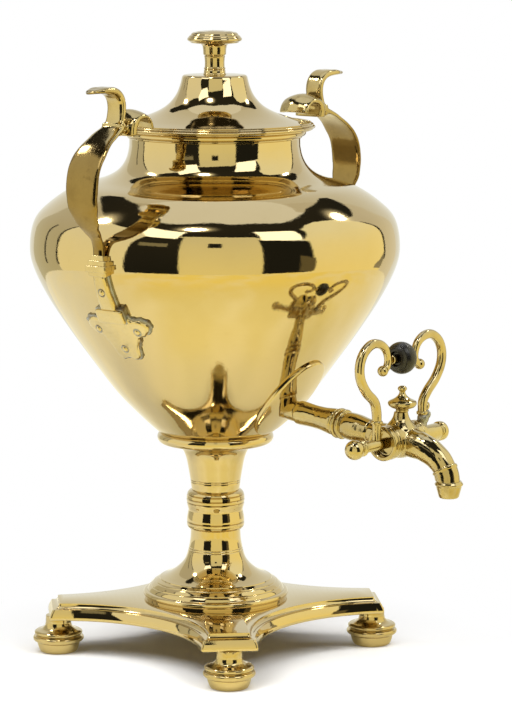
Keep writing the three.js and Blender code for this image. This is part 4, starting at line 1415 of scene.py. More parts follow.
@dataclass
class Handle:
    """A strap handle with its scroll, thumbpiece and riveted terminal."""

    side: str
    turn: float
    vessel: Vessel
    strap_line: tuple[Point, ...] = (
        (130.6, 287.6), (131, 293.5), (133.6, 299.8), (140.6, 307.4), (146.2, 318), (148, 331.5), (145, 347),
        (135.6, 358.8), (124.4, 366.6), (110, 374.3),
    )
    strap_widths: tuple[Point, ...] = (
        (0, 4.4), (0.1, 4.4), (0.17, 6.4), (0.25, 9.6), (0.36, 12.2), (0.48, 13), (0.66, 13), (0.84, 10.6), (1, 8.2)
    )
    strap_thickness: tuple[Point, ...] = ((0, 2.8), (0.85, 2.9), (1, 4.4))
    strap_crowns: tuple[Point, ...] = ((0, 0.6), (1, 0.6))
    scroll_line: tuple[Point, ...] = (
        (108.2, 365.4), (108.3, 371), (107.2, 374.4), (104.4, 377.4), (100.2, 379.4), (95, 379.8), (90, 378.2),
        (86.1, 374.6), (84.1, 369.4),
    )
    scroll_widths: tuple[Point, ...] = ((0, 11.8), (0.35, 12.6), (1, 12.6))
    scroll_thickness: tuple[Point, ...] = ((0, 8), (0.25, 7), (0.5, 4.2), (0.75, 2.8), (1, 2.4))
    scroll_crowns: tuple[Point, ...] = ((0, 0), (0.28, 0.3), (0.5, 2.8), (1, 3.0))
    thumb_line: tuple[Point, ...] = (
        (117.2, 367.8), (114.7, 372.4), (112.6, 377), (111.6, 382), (111.8, 386.4), (113.4, 389.8), (116.8, 392.2),
        (122, 393.5), (130.2, 394.2), (141, 394.2),
    )
    thumb_widths: tuple[Point, ...] = ((0, 7.6), (0.3, 6.9), (0.6, 7.2), (0.76, 7.2), (0.9, 4.2), (1, 0.8))
    thumb_thickness: tuple[Point, ...] = (
        (0, 5), (0.2, 4.6), (0.4, 5.0), (0.56, 5.2), (0.7, 4.2), (0.86, 2.8), (1, 1.0)
    )
    thumb_crowns: tuple[Point, ...] = ((0, 0.3), (0.5, 0.2), (1, 0.4))
    plate_half: tuple[Point, ...] = (
        (0, 247.6), (11, 247.6), (13.4, 245.6), (20.4, 246), (25, 243), (24.4, 239.4), (20.6, 235.4), (14.6, 233.4),
        (13.4, 230.6), (10.6, 226.4), (9.2, 219.6), (5.6, 217), (0, 219),
    )
    plate_face: float = 3.1
    rivet_ring: float = 2.85

    def build(self) -> None:
        """Builds the handle's pieces."""
        strap = self.bent(self.strap_line, self.strap_widths, self.strap_thickness, self.strap_crowns, 110)
        scroll = self.bent(self.scroll_line, self.scroll_widths, self.scroll_thickness, self.scroll_crowns, 64)
        thumb = self.bent(self.thumb_line, self.thumb_widths, self.thumb_thickness, self.thumb_crowns, 72)
        bead = turned(softened([(0, -8.2), (1.2, -8.2), (1.7, -7.6), (1.7, 7.6), (1.2, 8.2), (0, 8.2)], 0.4), 24)
        bead = moved(bead, Matrix.Translation((113.6, 0, 372.4)) @ Matrix.Rotation(math.pi / 2, 4, "X"))
        casting = fused([strap, scroll, thumb, bead], 0.6, 3)
        self.add("handle_casting", casting, ["strap", "scroll", "thumbpiece"])
        self.add("terminal_plate", self.terminal(), ["terminal"], TERMINAL)
        self.add("terminal_solder", self.fillet(), [], SOLDER)
        for place, across, height, lift in self.rivets():
            self.add(f"rivet_{place}", self.rivet(across, height, lift), [f"rivet_{place}"], TERMINAL)

    def add(self, name: str, bm: bmesh.types.BMesh, nodes: Sequence[str], finish: Finish = HANDLE) -> None:
        """Turns a piece to the handle's side and adds it.

        Args:
            name: The piece's name without its side.
            bm: Its mesh on the +X side.
            nodes: Names of its solids without the handle's.
            finish: Its finish.
        """
        bm = moved(bm, Matrix.Rotation(math.radians(self.turn), 4, "Z"))
        real = [f"{self.side}_handle_{node}" for node in nodes]
        add_piece(f"{self.side}_{name}", bm, finish, Slot.HANDLE, real)

    def bent(
        self,
        line: Sequence[Point],
        widths: Sequence[Point],
        thicknesses: Sequence[Point],
        crowns: Sequence[Point],
        steps: int,
    ) -> bmesh.types.BMesh:
        """A strap bent along a line, domed across its outer face, with worn round edges.

        Args:
            line: Its outer line in the handle's plane.
            widths: Half widths along it.
            thicknesses: Thicknesses along it.
            crowns: How far its middle stands proud, along it.
            steps: Number of sections.

        Returns:
            Its mesh.
        """
        run = relaxed(spline(line, 160), 0.7, 4)
        length = sum(math.dist(a, b) for a, b in zip(run, run[1:]))
        run = [Vector(p) for p in even(run, length / steps)]
        section = softened([(-1, 0), (1, 0), (1, -1), (-1, -1)], 0.3, 5, closed=True)
        section = [p for a, b in zip(section, [*section[1:], section[0]]) for p in even([a, b], 0.22)[:-1]]
        count = len(run) - 1

        def place(i: int, j: int) -> Vector:
            """A corner of a section of the strap.

            Args:
                i: Its number in the section.
                j: Number of the section.

            Returns:
                Its place.
            """
            along = (run[min(j + 1, count)] - run[max(j - 1, 0)]).normalized()
            outward = Vector((along.y, -along.x))
            share = j / count
            half, thick, crown = (between(values, share) for values in (widths, thicknesses, crowns))
            a, d = section[i]
            rounding = min(thick * 0.5, half * 0.45)
            across = a * (half - rounding) + math.copysign(rounding, a) * abs(a) ** 6
            depth = d * thick + crown * (1 - a * a) * (1.0 if d > -0.5 else 0.7) - crown * 0.15
            flat = run[j] + outward * depth
            return Vector((flat.x, across, flat.y))

        return skin(len(section), count, place)

    def lobes(self) -> list[Point]:
        """The lobed plate's whole outline."""
        return [*self.plate_half, *((-a, h) for a, h in reversed(self.plate_half[1:-1]))]

    def terminal(self) -> bmesh.types.BMesh:
        """The terminal: the lobed plate, a step, a tapered shank and a moulded block.

        Returns:
            Its mesh.
        """
        plate = self.vessel.sheet(softened(self.lobes(), 2.2, 4, closed=True), 0.1, self.plate_face, 1.5)
        blocks = (TERMINAL_STEP, TERMINAL_SHANK, TERMINAL_BLOCK, TERMINAL_BAND, TERMINAL_NECK)
        return joined([plate, *(block.on(self.vessel) for block in blocks)])

    def fillet(self) -> bmesh.types.BMesh:
        """The solder that has run out round the plate, the shank, the step and the rivets.

        Returns:
            Its mesh.
        """
        middle = 232.5
        outline = softened([(a * 1.09, middle + (h - middle) * 1.08) for a, h in self.lobes()], 2.6, 4, closed=True)
        wavy = [(a + 0.4 * math.sin(1.7 * h), h + 0.4 * math.sin(1.3 * a)) for a, h in outline]
        rings = [
            self.vessel.sheet(arc(a, h, self.rivet_ring, 0, 342, 19), lift - 0.4, lift + 0.22, 0.15)
            for _, a, h, lift in self.rivets()
        ]
        blocks = (block.on(self.vessel) for block in (SHANK_SOLDER, STEP_SOLDER))
        return joined([self.vessel.sheet(wavy, 0.0, 1.5, 1.1), *blocks, *rings])

    def rivets(self) -> list[tuple[str, float, float, float]]:
        """Names and places of the rivet heads.

        Returns:
            Name, across, height and distance of the seat from the body.
        """
        return [
            ("near_ear", -16, 238.4, self.plate_face),
            ("far_ear", 16, 238.4, self.plate_face),
            ("tail", 0, 225.4, self.plate_face),
            ("shank", 0, 265.4, TERMINAL_SHANK.face),
        ]

    def rivet(self, across: float, height: float, lift: float) -> bmesh.types.BMesh:
        """A low domed rivet head.

        Args:
            across: Its place across the plate.
            height: Its height.
            lift: Distance of its seat from the body.

        Returns:
            Its mesh.
        """
        head = turned([(0, -0.5), (2.1, -0.5), (2.2, 0.2), (1.9, 0.7), (1.2, 1.1), (0, 1.25)], 20)
        foot, tip = (Vector(self.vessel.on_skin(across, height, d)) for d in (lift, lift + 1))
        side = Vector(self.vessel.on_skin(across + 0.5, height, lift + 1))
        outward = (tip - foot).normalized()
        radial = Vector((foot.x, foot.y, 0)).normalized()
        outward = (outward - radial * outward.dot(radial) + radial * math.hypot(outward.x, outward.y)).normalized()
        across_way = (side - tip).normalized()
        up = outward.cross(across_way).normalized()
        turn = Matrix((across_way, up, outward)).transposed().to_4x4()
        return moved(head, Matrix.Translation(foot) @ turn)


# ---------------------------------------------------------------- tap


@dataclass
class Tap:
    """The rosette, the shank, the valve with its spout, and the small finial."""

    vessel: Vessel
    fall: float = math.radians(6)
    valve_out: float = 160.5
    valve_height: float = 166.0
    spout_reach: float = 39.5
    spout_bottom: float = 143.3
    rosette_half_width: float = 23.0
    rosette_half_length: float = 34.5
    slope: float = math.radians(38.7)

    def build(self) -> None:
        """Builds the fixed pieces of the tap."""
        add_piece("oval_rosette", self.rosette(), POLISHED, Slot.POLISHED, ["tap_rosette"])
        add_piece("tap_pipe", self.shank(), CAST, Slot.POLISHED, ["tap_shank"])
        add_piece("valve_casting", self.casting(), CAST, Slot.POLISHED, ["valve_body"])
        add_piece("barrel_near_ring", self.near_ring(), CAST, Slot.POLISHED)
        add_piece("barrel_far_ring", self.far_ring(), CAST, Slot.POLISHED)
        add_piece("spout_sleeve", self.sleeve(), CAST, Slot.POLISHED)
        add_piece("flared_nozzle", self.nozzle(), CAST, Slot.POLISHED, ["spout_nozzle"])
        add_piece("valve_knob", self.finial(), CAST, Slot.POLISHED, ["tap_finial"])

    def along(self, bm: bmesh.types.BMesh) -> bmesh.types.BMesh:
        """Lays a turned mesh along the tap's axis, its height measured from the valve to the body."""
        turn = Matrix.Rotation(-(math.pi / 2 - self.fall), 4, "X")
        return moved(bm, Matrix.Translation((0, -self.valve_out, self.valve_height)) @ turn)

    def across(self, bm: bmesh.types.BMesh, height: float | None = None) -> bmesh.types.BMesh:
        """Lays a turned mesh across the tap, its height measured along X."""
        turn = Matrix.Rotation(math.pi / 2, 4, "Y")
        middle = self.valve_height if height is None else height
        return moved(bm, Matrix.Translation((0, -self.valve_out, middle)) @ turn)

    def rosette(self) -> bmesh.types.BMesh:
        """The oval plate bent onto the cone where the tap leaves the body.

        Returns:
            Its mesh.
        """
        middle = self.valve_height + 99 * math.sin(self.fall) + 10 * math.cos(self.slope)
        count = 72
        outline = []
        for k in range(count):
            angle = math.tau * k / count
            rise = self.rosette_half_length * math.sin(angle) * math.cos(self.slope)
            outline.append((self.rosette_half_width * math.cos(angle), middle + rise))
        plate = self.vessel.sheet(outline, 0.1, 2.3, 0.9)
        return moved(plate, Matrix.Rotation(-math.pi / 2, 4, "Z"))

    def shank(self) -> bmesh.types.BMesh:
        """The turned pipe from the rosette to the valve.

        Returns:
            Its mesh.
        """
        line = [
            (7.4, 24.0), (7.9, 25.2), (8.1, 27.2), (8.4, 30), (9.0, 34), (9.3, 38), (9.3, 42), (8.9, 44.6), (8.3, 45.4),
            (8.3, 45.8), (9.6, 46.3), (10.2, 47.1), (10.2, 48.1), (9.5, 48.9), (8.5, 49.2), (8.5, 49.6), (9.6, 50.0),
            (10.3, 50.9), (10.2, 52.0), (9.4, 52.8), (8.2, 53.2), (8.3, 53.8), (8.9, 54.6), (9.0, 56.4), (8.7, 59),
            (8.0, 64), (7.7, 69.4), (7.6, 73), (7.8, 77.5), (8.1, 82.2), (8.1, 85.4), (7.6, 86.4), (6.9, 86.8),
            (7.1, 87.4), (7.0, 94), (6.8, 95.4), (6.6, 112),
        ]
        return self.along(turned([(3.9, 24.0), *softened(line, 0.3, 3), (3.9, 112)], 64))

    def spout(self, share: float) -> tuple[Vector, Vector]:
        """A place on the spout's middle line.

        Args:
            share: From 0 in the valve to 1 at the nozzle.

        Returns:
            The place and the direction of the line there.
        """
        out, high, reach = self.valve_out, self.valve_height, self.spout_reach
        points = [
            (-out + 6, high + 0.6), (-out - 8, high - 0.9), (-out - 20, high - 3.4), (-out - 30.6, high - 9),
            (-out - 37, high - 17.4), (-out - reach, 136.9),
        ]
        line = spline(points, 1000)
        at = min(max(round(share * 1000), 1), 999)
        y, z = line[round(share * 1000)]
        along = (Vector(line[at + 1]) - Vector(line[at - 1])).normalized()
        return Vector((0, y, z)), Vector((0, along.x, along.y))

    def casting(self) -> bmesh.types.BMesh:
        """Barrel, inlet, boss and spout cast in one.

        Returns:
            Its mesh.
        """
        barrel_line = [
            (0, -15), (8.7, -15), (8.7, -20), (10.4, -20), (10.6, -14), (10.7, -9), (11.7, -4), (12.1, 0), (11.7, 4),
            (10.8, 9), (10.7, 17), (0, 17),
        ]
        barrel = self.across(turned(barrel_line, 64))
        inlet = self.along(turned([(0, 0), (9.2, 0), (8.7, 8), (8.2, 14), (7.8, 20), (7.6, 24.2), (0, 24.2)], 48))
        boss = turned(
            [
                (0, 168), (12.2, 168), (11.8, 171.4), (10.4, 175.0), (8.2, 177.4), (6.4, 179.4), (5.2, 181.8),
                (4.5, 185.1), (0, 185.1),
            ],
            48,
        )
        boss = moved(boss, Matrix.Translation((0, -self.valve_out, 0)))
        radii = ((0, 10), (0.24, 9.6), (0.4, 9.0), (0.6, 8.3), (0.74, 7.8), (1, 7.5))
        share = 0.885

        def place(i: int, j: int) -> Vector:
            """A corner of a section of the spout; the last one is level."""
            corner = self.round_spout(share * j / 44, between(radii, share * j / 44), i / 40)
            if j == 44:
                corner.z = self.spout_bottom
            return corner

        return fused([barrel, inlet, boss, skin(40, 44, place)], 0.5, 5)

    def round_spout(self, share: float, radius: float, part: float) -> Vector:
        """A place on a circle round the spout's middle line.

        Args:
            share: Share of the spout's length.
            radius: The circle's radius.
            part: Share of the way round.

        Returns:
            The place.
        """
        spot, along = self.spout(share)
        angle = math.tau * part
        up = along.cross(Vector((1, 0, 0)))
        return spot + Vector((1, 0, 0)) * radius * math.cos(angle) + up * radius * math.sin(angle)

    def sleeve(self) -> bmesh.types.BMesh:
        """The ringed sleeve over the spout's end, a little askew.

        Returns:
            Its mesh.
        """
        steps = [
            (0.745, 7.4), (0.748, 8.1), (0.752, 8.5), (0.762, 8.75), (0.775, 8.7), (0.782, 8.4), (0.788, 8.15),
            (0.8, 8.2), (0.83, 8.2), (0.86, 8.2), (0.884, 8.2),
        ]

        def place(i: int, j: int) -> Vector:
            """A corner of a section of the sleeve; the last one is level."""
            corner = self.round_spout(steps[j][0], steps[j][1], i / 56)
            if j == len(steps) - 1:
                corner.z = self.spout_bottom
            return corner

        return skin(56, len(steps) - 1, place)

    def near_ring(self) -> bmesh.types.BMesh:
        """The ringed mouth of the barrel on the spindle's side.

        Returns:
            Its mesh.
        """
        line = [
            (8.6, -15.2), (8.6, -20.2), (9.3, -21), (10.8, -21), (11.5, -20.3), (11.5, -17.4), (11.2, -17.1),
            (10.9, -16.8), (11.2, -16.5), (11.4, -16.2), (11.4, -14.9), (11.1, -14.6), (10.9, -14.4), (11.1, -14.1),
            (11.3, -13.8), (11.2, -12.2), (10.6, -11.6), (10.0, -11.4), (9.4, -13),
        ]
        return self.across(turned(softened(line, 0.3, 2), 72))

    def far_ring(self) -> bmesh.types.BMesh:
        """The plain band at the barrel's far end.

        Returns:
            Its mesh.
        """
        line = [(6.8, 18), (10.4, 18), (11.1, 17.4), (11.1, 13.4), (10.7, 12.9), (10.2, 12.6), (6.8, 14)]
        return self.across(turned(softened(line, 0.4, 2), 64))

    def nozzle(self) -> bmesh.types.BMesh:
        """The flared ring over a short taper.

        Returns:
            Its mesh.
        """
        line = [
            (3.9, 143.3), (8.2, 143.3), (8.3, 142.9), (8.7, 142.3), (9.3, 141.6), (9.4, 141.1), (9.2, 140.5),
            (8.8, 140.2), (8.5, 139.8), (8.3, 139.0), (7.4, 135.6), (6.8, 133.3), (6.5, 132.6), (5.8, 132.0),
            (4.6, 132.0), (4.1, 132.3), (3.9, 133),
        ]
        return moved(turned(softened(line, 0.3, 2), 64), Matrix.Translation((0, -self.valve_out - self.spout_reach, 0)))

    def finial(self) -> bmesh.types.BMesh:
        """The mushroom disc under a small knob.

        Returns:
            Its mesh.
        """
        seat = 185.0
        line = [
            (0, seat), (4.1, seat), (4.4, seat + 0.7), (4.3, seat + 1.3), (5.2, seat + 1.9), (7.8, seat + 2.9),
            (9.2, seat + 4.2), (9.7, seat + 5.4), (9.4, seat + 6.7), (8.0, seat + 7.6), (5.9, seat + 8.5),
            (4.2, seat + 9.6), (2.9, seat + 10.8), (2.1, seat + 12.2), (1.9, seat + 13.2), (2.3, seat + 13.9),
            (3.0, seat + 14.5), (3.1, seat + 15.5), (2.7, seat + 16.4), (1.6, seat + 17.1), (0, seat + 17.4),
        ]
        return moved(turned(softened(line, 0.5, 3), 56), Matrix.Translation((0, -self.valve_out - 1, 0)))


@dataclass
class Lever:
    """The plug with its spindle, and the lyre handle that turns it."""

    tap: Tap
    near_root: float = 26.2
    far_root: float = 23.6
    grip_height: float = 220.6
    arm_line: tuple[Point, ...] = (
        (29.4, 195.4), (37.6, 202.4), (43.6, 211.2), (44.6, 220), (40.8, 227.8), (33, 232.7), (25, 232.7),
        (18.2, 229.2), (14.8, 223.4), (15, 217.6), (18.6, 214.4),
    )

    def build(self) -> None:
        """Builds the moving pieces of the tap."""
        pieces = {
            "plug_and_spindle": (self.spindle(), "tap_plug"),
            "plug_ring": (self.washer(), "plug_washer"),
            "spindle_end_ball": (self.ball(), "spindle_ball"),
            "spindle_end_cap": (self.cap(), "spindle_cap"),
            "lyre_arm_near": (self.arm(-1, self.near_root, 169.5), "lever_arm_near"),
            "lyre_arm_far": (self.arm(1, self.far_root, 171.7), "lever_arm_far"),
            "grip_rod": (self.pin(), "grip_pin"),
        }
        for name, (bm, node) in pieces.items():
            add_piece(name, bm, CAST, Slot.POLISHED, [node], Body.LEVER)
        add_piece("grip_bead_turned", self.bead(), EBONY, Slot.BEAD, ["grip_bead"], Body.LEVER)
        add_piece("far_arm_solder", self.solder(), SOLDER, Slot.POLISHED, [], Body.LEVER)

    def spindle(self) -> bmesh.types.BMesh:
        """The plug, a thin spindle on the near side and a thick one on the far side.

        Returns:
            Its mesh.
        """
        line = [
            (0, -41.2), (3.6, -41.2), (3.6, -14.8), (7.4, -14.8), (6.4, 18), (5.2, 18), (5.2, 20), (5.8, 20.6),
            (5.8, 38.9), (5.3, 39.6), (0, 39.6),
        ]
        return self.tap.across(turned(softened(line, 0.3, 2), 48))

    def washer(self) -> bmesh.types.BMesh:
        """The washer that holds the plug in its seat.

        Returns:
            Its mesh.
        """
        line = [(5.3, 18.1), (8.2, 18.1), (8.6, 18.6), (8.3, 19.7), (5.3, 19.8)]
        return self.tap.across(turned(softened(line, 0.3, 2), 48))

    def ball(self) -> bmesh.types.BMesh:
        """The ball behind a small neck ring.

        Returns:
            Its mesh.
        """
        line = [
            (0, -40.7), (4.4, -40.7), (5.1, -41.0), (5.4, -41.6), (5.3, -42.4), (4.7, -42.9), (4.0, -43.4),
            (4.1, -44.2), *arc(0, -49.6, 6.5, 52, -90, 20),
        ]
        line[-1] = (0, line[-1][1])
        return self.tap.across(turned(softened(line, 0.25, 2), 48))

    def cap(self) -> bmesh.types.BMesh:
        """The cap on the spindle's far end.

        Returns:
            Its mesh.
        """
        line = [
            (0, 39.5), (5.5, 39.5), (5.3, 40.1), (5.2, 40.5), (5.7, 40.9), (6.4, 41.5), (6.6, 42.4), (6.6, 44.2),
            (6.3, 45.2), (5.3, 46.5), (4.1, 47.3), (2.3, 47.9), (0, 48.1),
        ]
        return self.tap.across(turned(softened(line, 0.4, 3), 48))

    def arm(self, side: int, root: float, foot: float) -> bmesh.types.BMesh:
        """One side of the lyre.

        Args:
            side: -1 for the near side, 1 for the far side.
            root: Distance of its foot from the valve.
            foot: Height of its foot on the spindle.

        Returns:
            Its mesh.
        """
        line = [(root, foot), (root, 183), (root + 0.6, 189), *self.arm_line]
        run = [Vector(p) for p in relaxed(spline(line, 200), 0.9, 8)]
        count = len(run) - 1
        radii = ((0, 2.9), (0.2, 3.2), (0.7, 3.1), (0.94, 2.5), (1, 2.5))

        def place(i: int, j: int) -> Vector:
            """A corner of a section; the rod is a little flattened."""
            along = (run[min(j + 1, count)] - run[max(j - 1, 0)]).normalized()
            outward = Vector((along.y, -along.x))
            angle = math.tau * i / 24
            radius = between(radii, j / count)
            power = 0.82
            c, s = math.cos(angle), math.sin(angle)
            flat = run[j] + outward * radius * math.copysign(abs(c) ** power, c)
            return Vector((side * flat.x, radius * 0.94 * math.copysign(abs(s) ** power, s) - self.tap.valve_out, flat.y))

        rod = skin(24, count, place)
        curl = moved(sphere(3.6, 28, 16), Matrix.Translation((side * 20, -self.tap.valve_out, 214.2)))
        ring = turned(softened([(0, -1.3), (3.4, -1.3), (4.0, -0.7), (4.0, 0.7), (3.4, 1.3), (0, 1.3)], 0.4, 3), 32)
        moved(ring, Matrix.Translation((side * root, -self.tap.valve_out, 181)))
        pieces = [rod, curl, ring]
        if side > 0:
            lean = Matrix.Rotation(math.radians(35), 4, "Y") @ Matrix.Diagonal((0.85, 0.85, 1.35, 1))
            pieces.append(moved(sphere(2.7, 24, 14), Matrix.Translation((root + 4.2, -self.tap.valve_out, 184.4)) @ lean))
        return joined(pieces)

    def pin(self) -> bmesh.types.BMesh:
        """The brass pin between the arms.

        Returns:
            Its mesh.
        """
        line = [
            (0, -11), (2.7, -11), (3.1, -10.6), (3.1, -5.6), (2.7, -5.2), (2.4, -5.1), (2.4, 5.1), (2.7, 5.2),
            (3.1, 5.6), (3.1, 10.6), (2.7, 11), (0, 11),
        ]
        return self.tap.across(turned(line, 40), self.grip_height)

    def bead(self) -> bmesh.types.BMesh:
        """The black bead with a stepped face at each end.

        Returns:
            Its mesh.
        """
        lip = 5.2
        line = [(lip + r * 5.5, z * 6.9) for r, z in arc(0, 0, 1, -90, 90, 36)]
        line = engraved(line, [-5.3, 5.3], 0.5, 0.25)
        steps = [(2.6, -4.9), (4.1, -4.9), (4.4, -5.3), (4.6, -6.3)]
        mirrored = [(r, -z) for r, z in reversed(steps)]
        return self.tap.across(turned([*steps, *line, *mirrored], 72), self.grip_height)

    def solder(self) -> bmesh.types.BMesh:
        """The lumps of solder of an old repair at the foot of the far arm.

        Returns:
            Its mesh.
        """
        lumps = []
        places = ((23.6, -0.6, 177.2, 4.0), (25.8, -1.6, 179.8, 3.2), (24.6, 1.2, 180.4, 3.0), (23.2, 0.4, 173.6, 3.8))
        for x, y, z, size in places:
            lump = bmesh.new()
            bmesh.ops.create_icosphere(lump, subdivisions=4, radius=size)
            lumps.append(moved(lump, Matrix.Translation((x, y - self.tap.valve_out, z))))
        return fused(lumps, 0.45, 4)


# ---------------------------------------------------------------- studio


@dataclass(frozen=True)
class Card:
    """A patch of the room that only shows in the brass, as stations of angle, lowest and highest rise."""

    name: str
    stations: tuple[tuple[float, float, float], ...]
    low: Colour
    high: Colour
    nearer: float = 0.0


@dataclass(frozen=True)
class Spot:
    """A small lamp that only shows in the brass."""

    name: str
    angle: float
    rise: float
    size: float
    strength: float


@dataclass
class Studio:
    """The camera, the floor, the lamps and the room that the brass mirrors."""

    camera_azimuth: float = math.radians(-49.6)
    camera_distance: float = 2.0901
    camera_height: float = 0.5259
    pitch: float = 0.1541
    yaw: float = math.radians(0.771)
    focal_pixels: float = 3061.4
    picture_height: float = 726.0
    room_radius: float = 0.82
    eye_height: float = 0.28
    shadow_reach: float = 0.38
    ambient: float = 0.16
    gain: float = 1.41
    warm_side: float = 25.0
    floor_clouds: Noise = Noise(4.5, 2.0)
    card_clouds: Noise = Noise(3.0, 2.0)

    def build(self) -> None:
        """Builds everything round the urn."""
        self.camera()
        self.floor()
        self.world()
        self.lamps()
        for card in self.cards():
            self.card(card)
        for spot in self.spots():
            self.spot(spot)
        bpy.context.scene.view_settings.view_transform = "Standard"

    def heading(self, angle: float) -> Vector:
        """A level direction seen from the urn.

        Args:
            angle: Degrees from the camera's direction, positive to the camera's right.

        Returns:
            The direction.
        """
        toward = Vector((math.sin(self.camera_azimuth), -math.cos(self.camera_azimuth), 0))
        right = Vector((-toward.y, toward.x, 0))
        a = math.radians(angle)
        return toward * math.cos(a) + right * math.sin(a)

    def camera(self) -> None:
        """Places the camera of the photograph."""
        data = bpy.data.cameras.new("camera")
        data.sensor_width = 36.0
        data.lens = data.sensor_width * self.focal_pixels / self.picture_height
        data.clip_end = 100.0
        camera = put("camera", data)
        bpy.context.scene.camera = camera
        toward, right = self.heading(0), self.heading(90)
        ahead = -toward * math.cos(self.yaw) + right * math.sin(self.yaw)
        ahead = ahead * math.cos(self.pitch) - Vector((0, 0, 1)) * math.sin(self.pitch)
        camera.location = toward * self.camera_distance + on_axis(self.camera_height)
        camera.rotation_mode = "QUATERNION"
        camera.rotation_quaternion = ahead.to_track_quat("-Z", "Y")

    def floor(self) -> None:
        """Lays a plain pale floor that keeps the urn's shadow and runs out to white."""
        bm = bmesh.new()
        bmesh.ops.create_grid(bm, x_segments=1, y_segments=1, size=30.0)
        mesh = as_mesh("floor", bm)
        material, shader = new_shader("pale_floor")
        camera, glossy = shader.ray("Camera"), shader.ray("Glossy")
        centred = shader.from_axis(shader.where())
        reach = shader.vector("LENGTH", centred)
        way = shader.vector("NORMALIZE", centred)
        side = shader.vector("DOT_PRODUCT", way, tuple(self.heading(self.warm_side))).ramp(-0.75, 0.65)
        afar = shader.mix(side, (0.95, 0.94, 0.80), (1.06, 0.88, 0.27))
        middle = shader.mix(side, (0.90, 0.88, 0.74), (0.90, 0.81, 0.40))
        under = shader.mix(reach.ramp(0.09, 0.17), (0.78, 0.75, 0.52), middle)
        clouds = shader.noise(centred, self.floor_clouds).ramp(0.40, 0.66)
        plain = shader.mix(reach.ramp(0.22, 0.5), under, afar)
        mirrored = shader.mix(clouds * 0.55, plain, (1.04, 0.98, 0.70))
        tone = shader.mix(glossy, (0.8, 0.8, 0.8), mirrored)
        tone = shader.mix(camera, tone, (1.0, 1.0, 1.0))
        matt = shader.node("ShaderNodeBsdfDiffuse", {"Color": tone})
        glow = shader.node("ShaderNodeEmission", {"Color": tone, "Strength": 1.0 + glossy * 0.18})
        frontal = shader.vector("DOT_PRODUCT", way, tuple(self.heading(0)))
        wider = reach + 0.17 * (1.0 - frontal.ramp(-0.3, 0.5))
        seen = camera * wider.ramp(self.shadow_reach * 0.55, self.shadow_reach)
        far = seen + glossy * (reach.ramp(0.1, 0.42) * 0.85 + 0.1)
        shader.close(shader.node("ShaderNodeMixShader", {0: far, 1: matt, 2: glow}))
        mesh.materials.append(material)
        floor = put("floor", mesh)

    def world(self) -> None:
        """Gives the world a plain pale light."""
        world = bpy.data.worlds.new("room_light")
        world.use_nodes = True
        bpy.context.scene.world = world
        shader = Shader(world.node_tree)
        camera, glossy = shader.ray("Camera"), shader.ray("Glossy")
        soft = (self.ambient,) * 3
        tone = shader.mix(camera, shader.mix(glossy, soft, (0.98, 1.0, 0.99)), (1.0, 1.0, 1.0))
        sky = shader.node("ShaderNodeBackground", {"Color": tone, "Strength": 1.0})
        shader.node("ShaderNodeOutputWorld", {"Surface": sky})

    def lamps(self) -> None:
        """Hangs soft lamps high over the urn."""
        places = (("left_softbox", -52, 1.0, 1.7, 1.3, 31.5), ("right_softbox", 55, 1.0, 1.7, 1.3, 30.5))
        for name, angle, away, height, size, watts in places:
            data = bpy.data.lights.new(name, "AREA")
            data.shape = "SQUARE"
            data.size = size
            data.energy = watts
            lamp = put(name, data)
            lamp.location = self.heading(angle) * away + Vector((0, 0, height))
            lamp.rotation_mode = "QUATERNION"
            lamp.rotation_quaternion = (on_axis(0.1) - lamp.location).to_track_quat("-Z", "Y")
            lamp.visible_glossy = False

